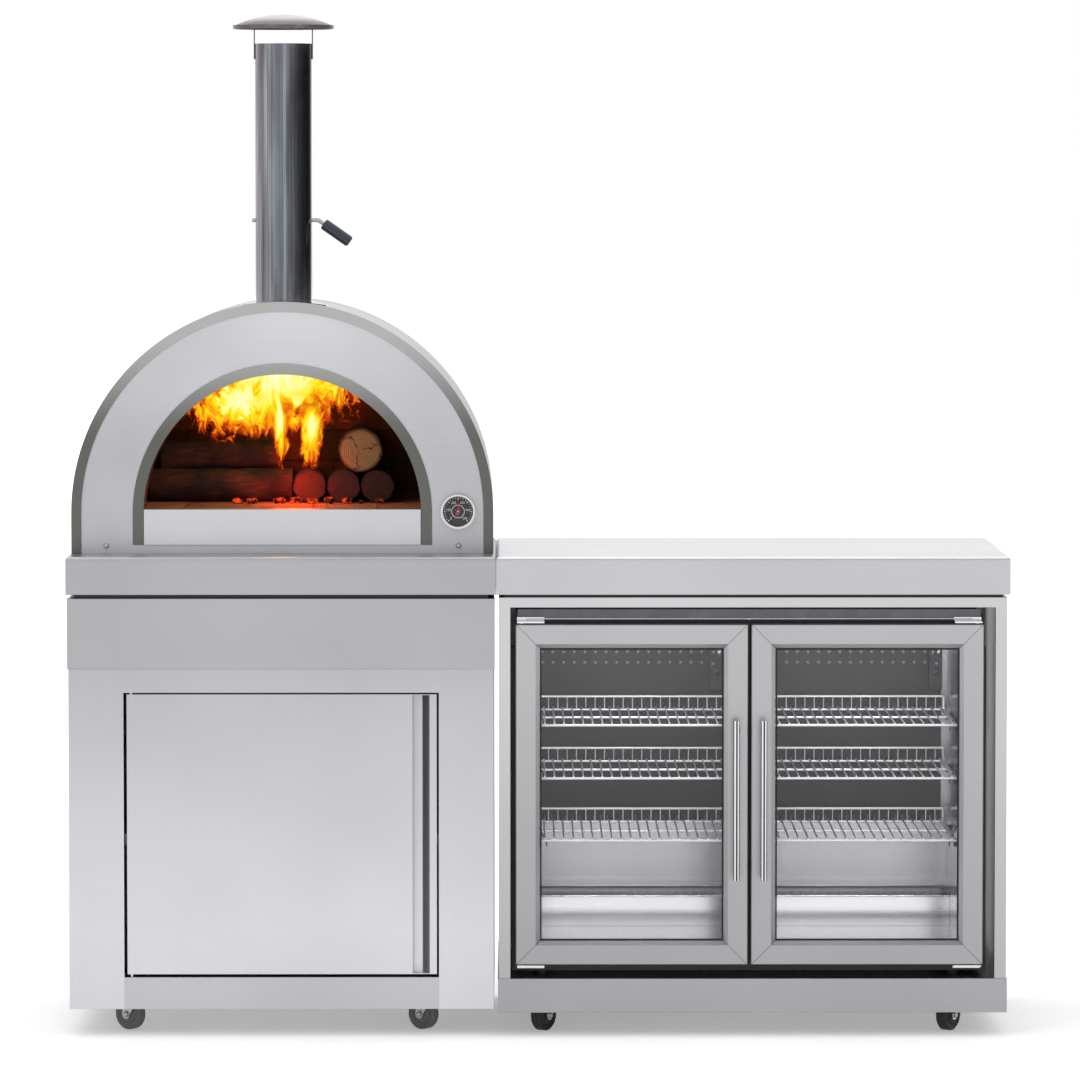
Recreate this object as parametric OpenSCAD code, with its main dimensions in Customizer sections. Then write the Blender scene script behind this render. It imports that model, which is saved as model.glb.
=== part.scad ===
// Outdoor kitchen in two stainless modules on casters, in millimetres.
// Left, a wood-fired oven with a flue on a one-door cabinet.
// Right, a bench with a two-door glass fridge.
// Origin on the floor under the middle of the kitchen, +X to the right, the front faces -Y.

/* [Benches] */
// Width of the oven module's bench top
oven_bench_w = 819.5; // [790:0.5:860]
// Width of the fridge module's bench top
fridge_bench_w = 980; // [960:2:1060]
// Gap between the two bench tops
module_gap = 0.5; // [0.5:0.5:6]
// Depth of both bench tops
bench_d = 600; // [580:5:700]
// Height of the working surface above the floor
bench_h = 920; // [900:5:960]
// Height of the bench top's folded fascia
fascia_h = 72; // [50:1:90]
// Sheet thickness of the bench tops
bench_sheet = 2; // [1.5:0.1:3]
// Radius of the folds along the bench top's edges
bench_fold_r = 6; // [3:0.5:12]
// Width of the lip turned in under the fascia
bench_lip_w = 14; // [8:1:24]

/* [Oven cabinet] */
// Sheet thickness of the cabinet panels
sheet = 1.5; // [1:0.1:2.5]
// How far the bench top stands out past the cabinet's sides
cabinet_inset = 4; // [2:1:12]
// How far the cabinet's front stands behind the bench top's front
front_inset = 10; // [4:1:20]
// How far the apron stands out in front of the stiles
apron_proud = 4; // [1:0.5:8]
// Height of the apron panel
apron_h = 134; // [100:2:180]
// Height of the dark gap between the bench top and the apron
shadow_gap = 8; // [4:1:16]
// Width of the two front stiles
stile_w = 105; // [70:1:120]
// Depth of the folds behind the front pieces
front_fold_d = 25; // [20:1:32]
// Height of the rail above the door
top_rail_h = 46; // [30:1:70]
// Height of the lower edge of the oven cabinet above the floor
oven_plinth_z = 53; // [46:1:60]
// Height of the cabinet's bottom rail
bottom_rail_h = 61; // [50:1:90]
// Height of the inner shelf above the cabinet floor
shelf_rise = 270; // [150:5:400]
// Distance from the stiles back to the inner shelf
shelf_setback = 40; // [20:5:200]
// Width of the black bars that carry the bench top
bearer_w = 20; // [12:1:40]
// Width of the flanges that carry the bearers
top_flange_w = 40; // [36:1:60]

/* [Cabinet door] */
// Gap on the hinge side of the door
door_gap_hinge = 6; // [4:0.5:10]
// Gap on the handle side of the door
door_gap_free = 4; // [2:0.5:8]
// Gap above the door
door_gap_top = 3; // [2:0.5:8]
// Gap below the door
door_gap_bottom = 6; // [3:0.5:10]
// Thickness of the door over its skin
door_t = 22; // [18:1:28]
// Width of the finger channel down the door's free edge
pull_w = 46; // [36:1:60]
// Width of the light strip beside the finger channel
pull_strip_w = 26; // [18:1:30]
// Width of the strip's flat lip
pull_lip_w = 12; // [6:1:16]
// Depth of the hooked edge that the fingers pull on
pull_hook_d = 9; // [6:1:12]
// Distance of the hinge axis from the door's edge and its face
door_axis_in = 8; // [6:0.5:10]
// Radius of the door's pivot pins
pivot_r = 3; // [2:0.5:4]
// Length of a pivot pin inside the door
pivot_depth = 16; // [8:1:24]

/* [Oven] */
// Radius of the oven's outer shell
oven_r = 403; // [380:1:405]
// Height of the arch centre above the bench top
arch_rise = 78; // [60:1:110]
// Distance from the bench top's front to the oven's face
oven_setback = 105; // [60:5:160]
// Depth of the oven from its face to its back
oven_d = 480; // [440:5:490]
// Sheet thickness of the oven's outer shell, face and back
oven_sheet = 2; // [1.5:0.1:3]
// Width of the trim band round the face
trim_w = 17; // [10:1:26]
// How far the bands stand out in front of the face
trim_proud = 3; // [1:0.5:6]
// Depth of the trim band where it laps over the shell
trim_lap = 22; // [10:1:40]
// Radius of the mouth
mouth_r = 266; // [240:1:280]
// Width of the collar round the mouth
collar_w = 21; // [14:1:30]
// Depth of the collar's sleeve into the oven
collar_d = 44; // [30:1:60]
// Height of the panel under the mouth
threshold_h = 68; // [50:1:80]
// Height of the mouth's sill above the arch centre
sill_rise = 7; // [0:1:20]
// Inner radius of the firebox vault
vault_r = 310; // [290:1:330]
// Wall of the firebox vault
vault_wall = 40; // [25:1:50]
// Thickness of the insulation behind the vault
back_insulation = 60; // [40:5:90]
// Thickness of the hearth bricks
brick_t = 40; // [25:1:50]
// Number of hearth bricks from side to side
bricks_across = 5; // [3:1:8]
// Number of hearth bricks from front to back
bricks_deep = 3; // [2:1:5]
// Joint between two hearth bricks
brick_joint = 1; // [0.5:0.5:3]
// Distance of the face studs from the oven's middle
stud_x = 338; // [300:1:350]
// Height of the face studs above the bench top
stud_z = 15; // [10:1:25]
// Radius of a face stud's head
stud_r = 5; // [3:0.5:8]

/* [Firewood] */
// Radius of the cut log that faces the mouth
log_r = 44; // [30:1:50]
// Length of the logs
log_l = 150; // [100:5:160]
// Distance of the first log's axis to the right of the oven's middle
log_row_x = 45; // [30:1:60]
// Gap between the logs and the back of the vault
log_back_gap = 10; // [5:1:20]
// Gap between the logs that lie in and those that lie across
log_side_gap = 0.9; // [0.5:0.1:3]
// Length of the logs that lie across as a part of the others'
across_part = 1.86; // [1.5:0.02:1.9]

/* [Thermometer] */
// Distance of the thermometer from the oven's middle
gauge_x = 337; // [330:1:345]
// Height of the thermometer above the arch centre
gauge_rise = 3; // [-20:1:30]
// Radius of the thermometer's bezel
gauge_r = 33; // [26:1:36]
// Depth of the thermometer's case in front of the face
gauge_d = 13; // [10:0.5:18]
// Wall of the bezel
gauge_wall = 3.5; // [2:0.5:6]
// Length of the pointer from its pivot to its tip
needle_l = 21; // [12:1:22]
// Length of the pointer's tail behind its pivot
needle_tail = 9; // [5:0.5:14]
// Angle of the pointer at rest, clockwise from straight up
needle_rest = 15; // [-60:5:60]
// Length of the probe behind the face
probe_l = 40; // [20:2:42]

/* [Flue] */
// Radius of the flue pipe
flue_r = 55; // [45:1:65]
// Wall of the flue pipe
flue_wall = 1; // [0.8:0.1:2]
// Distance from the oven's face back to the flue's axis
flue_back = 120; // [100:5:200]
// Width of the flange round the flue's foot
flange_w = 30; // [20:1:40]
// Height of the lower pipe above the oven's shell
flue_lower_h = 169; // [120:1:260]
// Height of the upper pipe
flue_upper_h = 328; // [200:1:420]
// Depth of the slip joint between the pipes
flue_slip = 25; // [15:1:40]
// Distance of the damper's shaft below the slip joint
damper_drop = 12; // [8:1:20]
// Radius of the damper's shaft
damper_shaft_r = 4; // [3:0.5:5]
// Clearance between the damper's plate and the pipe
damper_clear = 1.5; // [1:0.1:3]
// Thickness of the damper's plate
damper_t = 2; // [1:0.5:3]
// How far the damper's shaft stands out past the flue
damper_rod_out = 12; // [8:1:20]
// Length of the rod between the shaft and the grip
damper_rod_l = 12; // [8:1:20]
// Radius of the damper's grip
grip_r = 11; // [8:0.5:14]
// Length of the damper's grip
grip_l = 62; // [40:1:80]
// Angle of the grip below the shaft
grip_tilt = 35; // [0:1:60]
// Radius of the rain cap
cap_r = 96; // [80:1:120]
// Height of the rain cap's dome
cap_h = 22; // [10:1:40]
// Height of the rain cap's rim above the flue
cap_gap = 34; // [20:1:60]
// Width of the rain cap's straps
strap_w = 14; // [10:1:20]

/* [Fridge bench] */
// How far the bench top stands out past the frame's sides
fridge_frame_inset = 5; // [2:1:12]
// Height of the rail under the fascia
sub_rail_h = 19; // [12:1:30]
// Gap between the fascia and the rail under it
sub_rail_gap = 6; // [2:1:12]
// Width of the fridge bench's front stiles
fridge_stile_w = 22; // [16:1:26]
// Height of the lower edge of the fridge bench above the floor
fridge_plinth_z = 46; // [42:1:60]
// Height of the fridge bench's base rail
base_rail_h = 65; // [50:1:70]
// How far the base rail stands out past the stiles
base_proud = 2; // [1:0.5:6]

/* [Fridge] */
// Space between the fridge and the stiles beside it
fridge_side_gap = 16; // [15:1:40]
// Depth of the fridge's case behind its doors
fridge_d = 455; // [420:5:480]
// Space between the fridge and the rail above it
fridge_top_gap = 17; // [12:1:40]
// Sideways offset of the fridge in its bench
fridge_offset = -6; // [-8:1:8]
// Height of the fridge's feet
foot_h = 11; // [8:1:20]
// Radius of the fridge's feet
foot_r = 16; // [10:1:20]
// Insulated wall of the fridge's case
fridge_wall = 38; // [30:1:50]
// Wall above and below the fridge's compartments
fridge_deck = 45; // [35:1:60]
// Wall between the two compartments
divider_w = 46; // [30:1:60]
// Height of the step over the machine space
hump_h = 78; // [60:1:120]
// Depth of the step over the machine space
hump_d = 83; // [60:1:120]
// Number of vent slots in each row up the case's back
vent_count = 8; // [4:1:9]
// Width of a vent slot
vent_w = 150; // [80:5:200]
// Height of a vent slot
vent_h = 4; // [3:0.5:6]
// Distance between two vent slots
vent_pitch = 12; // [8:1:14]
// Thickness of the black strips beside the case
side_strip_t = 7; // [4:1:9]
// Distance of the black strips below the case's top
side_strip_drop = 62; // [30:1:120]

/* [Fridge doors] */
// Gap between the two glass doors
door_split = 6; // [4:0.5:10]
// Distance of a glass door's ends from the case's top and bottom
door_end_in = 15; // [10:1:30]
// Thickness of a glass door's frame
glass_door_t = 36; // [30:1:44]
// Width of a door's frame members
member_w = 46; // [36:1:60]
// Width of the bevel along a frame member's inner edge
bevel_w = 8; // [4:0.5:14]
// Depth of the slot that holds the pane
pane_slot = 6; // [4:0.5:10]
// Thickness of the double-glazed pane
pane_t = 14; // [10:0.5:18]
// Distance of the pane behind the door's face
pane_back = 11; // [9:0.5:14]
// Clearance of the pane in its slot
pane_clear = 0.2; // [0.1:0.1:0.5]
// Thickness of the door gasket
gasket_t = 5; // [4:0.5:8]
// Width of the door gasket
gasket_w = 14; // [8:1:20]
// Distance of the gasket from the door's edge
gasket_in = 16; // [14:1:30]
// Distance of a glass door's hinge axis from its outer edge
glass_axis_in = 12; // [10:0.5:16]
// Distance of a glass door's hinge axis behind its face
glass_axis_back = 14; // [12:0.5:16]
// Radius of a glass door's hinge pin
hinge_r = 4; // [3:0.5:5]
// Length of a hinge pin inside the door's frame
hinge_depth = 18; // [10:1:30]
// Thickness of the hinge brackets
bracket_t = 3; // [2:0.5:4]
// Length of the hinge brackets
bracket_l = 52; // [40:1:70]
// Radius of the handle bars
bar_r = 6; // [5:0.5:8]
// Length of the handle bars
bar_l = 306; // [240:2:360]
// Distance from a door's face to the middle of its handle bar
bar_out = 32; // [26:1:40]
// Height of the middle of the handle bars above the door's foot
bar_rise = 319; // [280:1:360]
// Radius of the handle's posts
post_r = 4.5; // [3:0.5:6]
// Distance of the posts from the ends of the bar
post_in = 24; // [15:1:50]

/* [Fridge fittings] */
// Height of the low wire shelf as a part of the compartment's height
low_shelf_at = 0.342; // [0.3:0.001:0.38]
// Height of the middle wire shelf as a part of the compartment's height
middle_shelf_at = 0.544; // [0.5:0.001:0.58]
// Height of the high wire shelf as a part of the compartment's height
high_shelf_at = 0.716; // [0.68:0.001:0.78]
// Distance of the wire shelves from the compartment's front
wire_shelf_setback = 18; // [10:1:30]
// Depth of a wire shelf
wire_shelf_d = 345; // [250:5:350]
// Gap between a wire shelf and the compartment's wall
shelf_side_gap = 9; // [6:1:16]
// Radius of a shelf's border wire
border_wire_r = 2.5; // [2:0.1:3.5]
// Radius of a shelf's rung wires
rung_wire_r = 1.7; // [1:0.1:2]
// Distance between two rung wires
rung_pitch = 18.4; // [14:0.2:30]
// Height of the fence at a shelf's back
fence_h = 26; // [15:1:40]
// Depth of the fan cover
fan_cover_t = 12; // [8:1:20]
// Height of the fan cover's foot as a part of the compartment's height
fan_cover_at = 0.359; // [0.3:0.001:0.42]
// Margin between the fan cover and the compartment's walls
fan_cover_margin = 14; // [8:1:40]
// Distance of the fan cover's screws from its sides
fan_screw_in = 43.5; // [20:0.5:80]
// Width of the controller beside the fan cover
controller_w = 26; // [20:1:50]
// Height of the controller
controller_h = 130; // [80:1:180]
// Depth of the controller
controller_d = 30; // [20:1:60]
// Length of a shelf clip along the wall
clip_d = 26; // [15:1:40]
// Height of a shelf clip
clip_h = 14; // [8:1:20]

/* [Casters] */
// Radius of a caster's wheel
wheel_r = 30; // [25:1:32]
// Width of a caster's wheel
wheel_w = 22; // [16:1:26]
// Distance of a wheel's axle from its swivel axis
caster_trail = 16; // [10:1:22]
// Height of a caster over its mounting plate
caster_h = 79; // [76:1:90]
// Radius of a wheel's axle
axle_r = 4; // [3:0.5:5]
// Radius of the swivel's stem
stem_r = 6; // [5:0.5:8]
// Radius of the cup under a mounting plate
cup_r = 20; // [16:1:24]
// Radius of a fork's eye round its axle
fork_eye_r = 9; // [7:0.5:11]
// Side of a caster's square mounting plate
caster_plate_w = 62; // [50:1:80]
// Distance of the casters from the benches' front and back
caster_inset_y = 110; // [90:5:200]
// Distance of the oven module's casters from its sides
oven_caster_inset = 127; // [90:1:200]
// Distance of the fridge module's casters from its sides
fridge_caster_inset = 100; // [90:1:200]
// Direction in which the oven module's casters stand
oven_caster_turn = 145; // [0:5:355]
// Direction in which the fridge module's casters stand
fridge_caster_turn = 235; // [0:5:355]
// Running clearance of pins, shafts and axles
running = 0.05; // [0.02:0.01:0.1]

/* [Hidden] */

$fn = 96;
// Overshoot of a cut past the face that it opens
cut = 1;

// Plan of the two modules
total_w = oven_bench_w + module_gap + fridge_bench_w;
x_left = -total_w / 2;
x_oven_end = x_left + oven_bench_w;
x_fridge_start = x_oven_end + module_gap;
x_right = total_w / 2;
oven_x = (x_left + x_oven_end) / 2;
bench_x = (x_fridge_start + x_right) / 2;

// The handles stand furthest forward, so the bench tops lie a little behind the middle
handle_reach = bar_out + bar_r - front_inset;
y_front = -bench_d / 2 + handle_reach / 2;
y_back = y_front + bench_d;
y_face = y_front + front_inset;
y_fold = y_face + front_fold_d;
y_rear = y_back - front_inset;
fascia_z = bench_h - fascia_h;
bench_under = bench_h - bench_sheet;
lip_clear = 0.5;

// Oven cabinet
cab_x0 = x_left + cabinet_inset;
cab_x1 = x_oven_end - cabinet_inset;
cab_top = fascia_z - shadow_gap;
apron_z = cab_top - apron_h;
floor_top = oven_plinth_z + bottom_rail_h;
opening_x0 = cab_x0 + stile_w;
opening_x1 = cab_x1 - stile_w;
door_head = apron_z - top_rail_h;
door_x0 = opening_x0 + door_gap_hinge;
door_x1 = opening_x1 - door_gap_free;
door_z0 = floor_top + door_gap_bottom;
door_z1 = door_head - door_gap_top;
door_axis_x = door_x0 + door_axis_in;
door_axis_y = y_face + door_axis_in;
hinge_block = 2 * door_axis_in - 2 * sheet;
shelf_z = floor_top + shelf_rise;
shelf_rail = 24;
shelf_fold = 22;

// Oven
arch_z = bench_h + arch_rise;
oven_y0 = y_front + oven_setback;
oven_y1 = oven_y0 + oven_d;
sill_z = arch_z + sill_rise;
threshold_z = sill_z - threshold_h;
vault_y0 = oven_y0 + collar_d;
vault_y1 = oven_y1 - back_insulation;
vault_r1 = vault_r + vault_wall;
hearth_z = sill_z - brick_t;
vault_leg = arch_z - hearth_z;

// Flue
flue_y = oven_y0 + flue_back;
shell_top = arch_z + oven_r;
joint_z = shell_top + flue_lower_h;
flue_top = joint_z + flue_upper_h;
damper_z = joint_z - damper_drop;
cap_z = flue_top + cap_gap;
rod_out = flue_r + damper_rod_out;
flue_clear = 0.3;
flange_r = flue_r + flange_w;

// Thermometer
gauge_z = arch_z + gauge_rise;
gauge_front = oven_y0 - gauge_d;
gauge_floor = 2;
gauge_pin_r = 1;
dial_t = 1.5;
lens_t = 1.5;
needle_out = 5;

// Fridge bench
frame_x0 = x_fridge_start + fridge_frame_inset;
frame_x1 = x_right - fridge_frame_inset;
base_top = fridge_plinth_z + base_rail_h;
sub_rail_z1 = fascia_z - sub_rail_gap;
sub_rail_z0 = sub_rail_z1 - sub_rail_h;
stile_return = 12;

// Fridge
fridge_w = frame_x1 - frame_x0 - 2 * (fridge_stile_w + fridge_side_gap);
fridge_h = sub_rail_z0 - fridge_top_gap - base_top - foot_h;
fridge_x = bench_x + fridge_offset;
case_x0 = fridge_x - fridge_w / 2;
case_x1 = fridge_x + fridge_w / 2;
case_y0 = y_face + glass_door_t + gasket_t;
case_y1 = case_y0 + fridge_d;
case_z0 = base_top + foot_h;
case_z1 = case_z0 + fridge_h;
room_w = (fridge_w - 2 * fridge_wall - divider_w) / 2;
room_z0 = case_z0 + fridge_deck;
room_z1 = case_z1 - fridge_deck;
room_y1 = case_y1 - fridge_deck;
room_left = case_x0 + fridge_wall;
room_right = room_left + room_w + divider_w;
rooms = [room_left, room_right];
glass_door_w = (fridge_w - door_split) / 2;
glass_door_z0 = case_z0 + door_end_in;
glass_door_z1 = case_z1 - door_end_in;
glass_door_h = glass_door_z1 - glass_door_z0;
left_axis_x = case_x0 + glass_axis_in;
right_axis_x = case_x1 - glass_axis_in;
glass_axis_y = y_face + glass_axis_back;
bracket_gap = 1.5;
bracket_end = 9;
bracket_half = 8;
bracket_leg = 9;
member_edge = 2;
foot_inset = 50;
side_strip_d = 20;
vent_depth = 3;
vent_rise = 20;
vent_apart = 30;

// Fridge fittings
room_h = room_z1 - room_z0;
shelf_levels = [low_shelf_at * room_h, middle_shelf_at * room_h, high_shelf_at * room_h];
shelf_y0 = case_y0 + wire_shelf_setback;
shelf_y1 = shelf_y0 + wire_shelf_d;
weld = 0.5;
clip_front = 60;
clip_back = 40;
clip_clear = 0.3;
fan_cover_z0 = room_z0 + fan_cover_at * room_h;
fan_cover_top_gap = 8;
fan_cover_top = room_z1 - fan_cover_top_gap;
fan_screw_rise = 22;
fan_screw_z = fan_cover_z0 + fan_screw_rise;
fan_screw_r = 5;

// Casters, each with its place and direction
caster_y0 = y_front + caster_inset_y;
caster_y1 = y_back - caster_inset_y;
casters = [
  [x_left + oven_caster_inset, caster_y0, oven_caster_turn],
  [x_oven_end - oven_caster_inset, caster_y0, oven_caster_turn],
  [x_left + oven_caster_inset, caster_y1, oven_caster_turn],
  [x_oven_end - oven_caster_inset, caster_y1, oven_caster_turn],
  [x_fridge_start + fridge_caster_inset, caster_y0, fridge_caster_turn],
  [x_right - fridge_caster_inset, caster_y0, fridge_caster_turn],
  [x_fridge_start + fridge_caster_inset, caster_y1, fridge_caster_turn],
  [x_right - fridge_caster_inset, caster_y1, fridge_caster_turn]
];
swivel_gap = 0.5;
plate_t = 3;
cup_t = 5;
fork_t = 3;
fork_top = caster_h - plate_t - cup_t - swivel_gap;
fork_head_r = 22;
tread_edge = 3;
hub_edge = 4;
beam_w = 70;

steel = [0.74, 0.74, 0.75];
bright = [0.86, 0.86, 0.87];
dark_steel = [0.45, 0.45, 0.44];
black = [0.08, 0.08, 0.09];

// A box between its low and high corners
module block(low, high) {
  translate(low)
    cube(high - low);
}

// Outline of an arch with straight legs, its centre at the origin
module arch_outline(r, leg) {
  intersection() {
    circle(r);
    translate([-r, 0])
      square([2 * r, r]);
  }
  translate([-r, -leg])
    square([2 * r, leg]);
}

// An arch about the oven's middle, filled from y0 to y1
module arch_solid(r, leg, y0, y1) {
  translate([oven_x, y1, arch_z])
    rotate([90, 0, 0])
      linear_extrude(y1 - y0)
        arch_outline(r, leg);
}

// A band between two arches
module arch_band(r_out, r_in, leg, y0, y1) {
  difference() {
    arch_solid(r_out, leg, y0, y1);
    arch_solid(r_in, leg + cut, y0 - cut, y1 + cut);
  }
}

// A rectangle whose two upper corners are round
module crowned_rect(w, h, r) {
  square([w, h - r]);
  translate([r, 0])
    square([w - 2 * r, h]);
  for (x = [r, w - r])
    translate([x, h - r])
      circle(r);
}

// A bench top folded down on all four sides, with a lip turned in
module bench_top(x0, x1) {
  w = x1 - x0;
  t = bench_sheet;
  difference() {
    intersection() {
      translate([x0, y_back, fascia_z])
        rotate([90, 0, 0])
          linear_extrude(bench_d)
            crowned_rect(w, fascia_h, bench_fold_r);
      translate([x0, y_front, fascia_z])
        rotate([90, 0, 90])
          linear_extrude(w)
            crowned_rect(bench_d, fascia_h, bench_fold_r);
    }
    block([x0 + t, y_front + t, fascia_z + t], [x1 - t, y_back - t, bench_under]);
    block([x0 + bench_lip_w, y_front + bench_lip_w, fascia_z - cut],
          [x1 - bench_lip_w, y_back - bench_lip_w, fascia_z + t + cut]);
  }
}

module oven_bench() {
  color(bright)
    bench_top(x_left, x_oven_end);
}

module fridge_bench() {
  color(bright)
    bench_top(x_fridge_start, x_right);
}

// Four bars that carry a bench top, between x0 and x1, from z0 up
module bearer_set(x0, x1, y0, y1, z0) {
  block([x0, y0, z0], [x1, y0 + bearer_w, bench_under]);
  block([x0, y1 - bearer_w, z0], [x1, y1, bench_under]);
  block([x0, y0 + bearer_w, z0], [x0 + bearer_w, y1 - bearer_w, bench_under]);
  block([x1 - bearer_w, y0 + bearer_w, z0], [x1, y1 - bearer_w, bench_under]);
}

module bench_bearers() {
  e = bench_lip_w + lip_clear;
  color(black) {
    bearer_set(x_left + e, x_oven_end - e, y_front + e, y_back - e, cab_top);
    bearer_set(x_fridge_start + e, x_right - e, y_front + e, y_back - e, sub_rail_z1);
  }
}

// Flanges turned in along three sides of a cabinet's top edge, under the bearers
module top_flanges(x0, x1, z) {
  block([x0, y_fold, z - sheet], [x0 + top_flange_w, y_rear - sheet, z]);
  block([x1 - top_flange_w, y_fold, z - sheet], [x1, y_rear - sheet, z]);
  block([x0 + top_flange_w, y_rear - top_flange_w, z - sheet], [x1 - top_flange_w, y_rear - sheet, z]);
}

// Two side panels with a rail for the shelf, and the back panel
module oven_cabinet_panels() {
  rail_z = shelf_z - shelf_fold - sheet;
  color(steel) {
    for (side = [0, 1])
      translate([side * (cab_x1 + cab_x0), 0, 0])
        mirror([side, 0, 0]) {
          block([cab_x0, y_fold, oven_plinth_z], [cab_x0 + sheet, y_rear, cab_top]);
          block([cab_x0 + sheet, y_fold + shelf_setback, rail_z - shelf_rail],
                [cab_x0 + 2 * sheet, y_rear - sheet, rail_z]);
          block([cab_x0 + sheet, y_fold + shelf_setback, rail_z],
                [cab_x0 + shelf_rail, y_rear - sheet, rail_z + sheet]);
        }
    block([cab_x0 + sheet, y_rear - sheet, oven_plinth_z], [cab_x1 - sheet, y_rear, cab_top]);
    top_flanges(cab_x0 + sheet, cab_x1 - sheet, cab_top);
  }
}

// A channel along X that opens downwards and carries two casters
module caster_beam(x0, x1, y, z0, z1) {
  difference() {
    block([x0, y - beam_w / 2, z0], [x1, y + beam_w / 2, z1]);
    block([x0 - cut, y - beam_w / 2 + sheet, z0 + 2 * sheet], [x1 + cut, y + beam_w / 2 - sheet, z1 + cut]);
  }
}

// A channel behind a front face, open to the back
module front_channel(x0, x1, z0, z1, y0, y1) {
  difference() {
    block([x0, y0, z0], [x1, y1, z1]);
    block([x0 + sheet, y0 + sheet, z0 + sheet], [x1 - sheet, y1 + cut, z1 - sheet]);
  }
}

module oven_cabinet_base() {
  plate_z = floor_top - sheet;
  color(steel) {
    front_channel(opening_x0, opening_x1, oven_plinth_z, floor_top, y_face, y_fold);
    block([cab_x0 + sheet, y_fold, plate_z], [cab_x1 - sheet, y_rear - sheet, floor_top]);
    for (y = [caster_y0, caster_y1])
      caster_beam(cab_x0 + sheet, cab_x1 - sheet, y, caster_h, plate_z);
  }
}

module oven_cabinet_frame() {
  color(steel) {
    front_channel(cab_x0, opening_x0, oven_plinth_z, apron_z, y_face, y_fold);
    front_channel(opening_x1, cab_x1, oven_plinth_z, apron_z, y_face, y_fold);
    front_channel(opening_x0, opening_x1, door_head, apron_z, y_face, y_fold);
  }
}

module apron_panel() {
  color(steel)
    front_channel(cab_x0 - apron_proud / 2, cab_x1 + apron_proud / 2, apron_z, cab_top,
                  y_face - apron_proud, y_fold);
}

module cabinet_shelf() {
  gap = 0.5;
  x0 = cab_x0 + 2 * sheet + gap;
  x1 = cab_x1 - 2 * sheet - gap;
  y0 = y_fold + shelf_setback;
  color(steel)
    difference() {
      block([x0, y0, shelf_z - shelf_fold], [x1, y_rear - sheet - gap, shelf_z]);
      block([x0 + sheet, y0 + sheet, shelf_z - shelf_fold - cut],
            [x1 - sheet, y_rear - 2 * sheet - gap, shelf_z - sheet]);
    }
}

// Section of the door's skin, from its hinge edge to the hook of the pull
module door_skin_section() {
  edge_x = door_x1 - pull_w;
  translate([door_x0, y_face])
    square([sheet, door_t]);
  translate([door_x0, y_face])
    square([edge_x - door_x0, sheet]);
  translate([edge_x - sheet, y_face])
    square([sheet, pull_hook_d]);
}

// Section of the pull's strip: floor, slope and lip
module pull_section() {
  y1 = y_face + door_t;
  x_floor = door_x1 - pull_strip_w;
  x_lip = door_x1 - pull_lip_w;
  x_back = door_x1 - pull_w - 2 * door_t;
  polygon([
    [x_back, y1 - sheet],
    [x_floor - sheet, y1 - sheet],
    [x_lip - sheet, y_face],
    [door_x1, y_face],
    [door_x1, y1],
    [door_x1 - sheet, y1],
    [door_x1 - sheet, y_face + sheet],
    [x_lip, y_face + sheet],
    [x_floor, y1],
    [x_back, y1]
  ]);
}

module cabinet_door() {
  h = door_z1 - door_z0;
  y1 = y_face + door_t;
  color(steel)
    difference() {
      union() {
        translate([0, 0, door_z0])
          linear_extrude(h)
            door_skin_section();
        for (z = [door_z0, door_z1 - sheet])
          block([door_x0, y_face, z], [door_x1, y1 - sheet, z + sheet]);
        for (z = [door_z0 + sheet, door_z1 - sheet - pivot_depth])
          block([door_x0 + sheet, y_face + sheet, z],
                [door_x0 + sheet + hinge_block, y_face + sheet + hinge_block, z + pivot_depth]);
        translate([0, 0, door_z0])
          linear_extrude(h)
            pull_section();
      }
      translate([door_axis_x, door_axis_y, door_z0 - cut])
        cylinder(h = h + 2 * cut, r = pivot_r + running);
    }
}

module cabinet_door_liner() {
  y1 = y_face + door_t;
  color(steel)
    block([door_x0, y1, door_z0], [door_x1, y1 + sheet, door_z1]);
}

module oven_shell() {
  color(steel)
    difference() {
      arch_band(oven_r, oven_r - oven_sheet, arch_rise, oven_y0 + oven_sheet, oven_y1 - oven_sheet);
      translate([oven_x, flue_y, arch_z])
        cylinder(h = oven_r + cut, r = flue_r + running);
    }
}

module oven_back() {
  color(steel)
    arch_solid(oven_r, arch_rise, oven_y1 - oven_sheet, oven_y1);
}

// A domed stud whose head stands on the face at x and z
module face_stud(x, z) {
  neck_r = stud_r / 2;
  neck_l = 3;
  translate([x, oven_y0, z])
    rotate([90, 0, 0]) {
      cylinder(h = neck_l, r = neck_r, $fn = 32);
      translate([0, 0, neck_l])
        intersection() {
          sphere(stud_r, $fn = 32);
          cylinder(h = stud_r, r = stud_r, $fn = 32);
        }
    }
}

module oven_face() {
  hole_r = mouth_r + collar_w / 2;
  color(bright)
    difference() {
      arch_solid(oven_r, arch_rise, oven_y0, oven_y0 + oven_sheet);
      arch_solid(hole_r, arch_z - threshold_z, oven_y0 - cut, oven_y0 + oven_sheet + cut);
      translate([oven_x + gauge_x, oven_y0 - cut, gauge_z])
        rotate([-90, 0, 0])
          cylinder(h = oven_sheet + 2 * cut, r = gauge_r / 4);
    }
  color(dark_steel)
    for (side = [-1, 1])
      face_stud(oven_x + side * stud_x, bench_h + stud_z);
}

module face_trim() {
  color(dark_steel)
    difference() {
      arch_solid(oven_r + oven_sheet, arch_rise, oven_y0 - trim_proud, oven_y0 + trim_lap);
      arch_solid(oven_r, arch_rise + cut, oven_y0, oven_y0 + trim_lap + cut);
      arch_solid(oven_r - trim_w, arch_rise + cut, oven_y0 - trim_proud - cut, oven_y0 + cut);
    }
}

module mouth_collar() {
  leg = arch_z - threshold_z;
  color(dark_steel)
    difference() {
      union() {
        arch_solid(mouth_r + collar_w, leg, oven_y0 - trim_proud, oven_y0);
        arch_solid(mouth_r + oven_sheet, leg, oven_y0, vault_y0);
      }
      arch_solid(mouth_r, leg + cut, oven_y0 - trim_proud - cut, vault_y0 + cut);
    }
}

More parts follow.
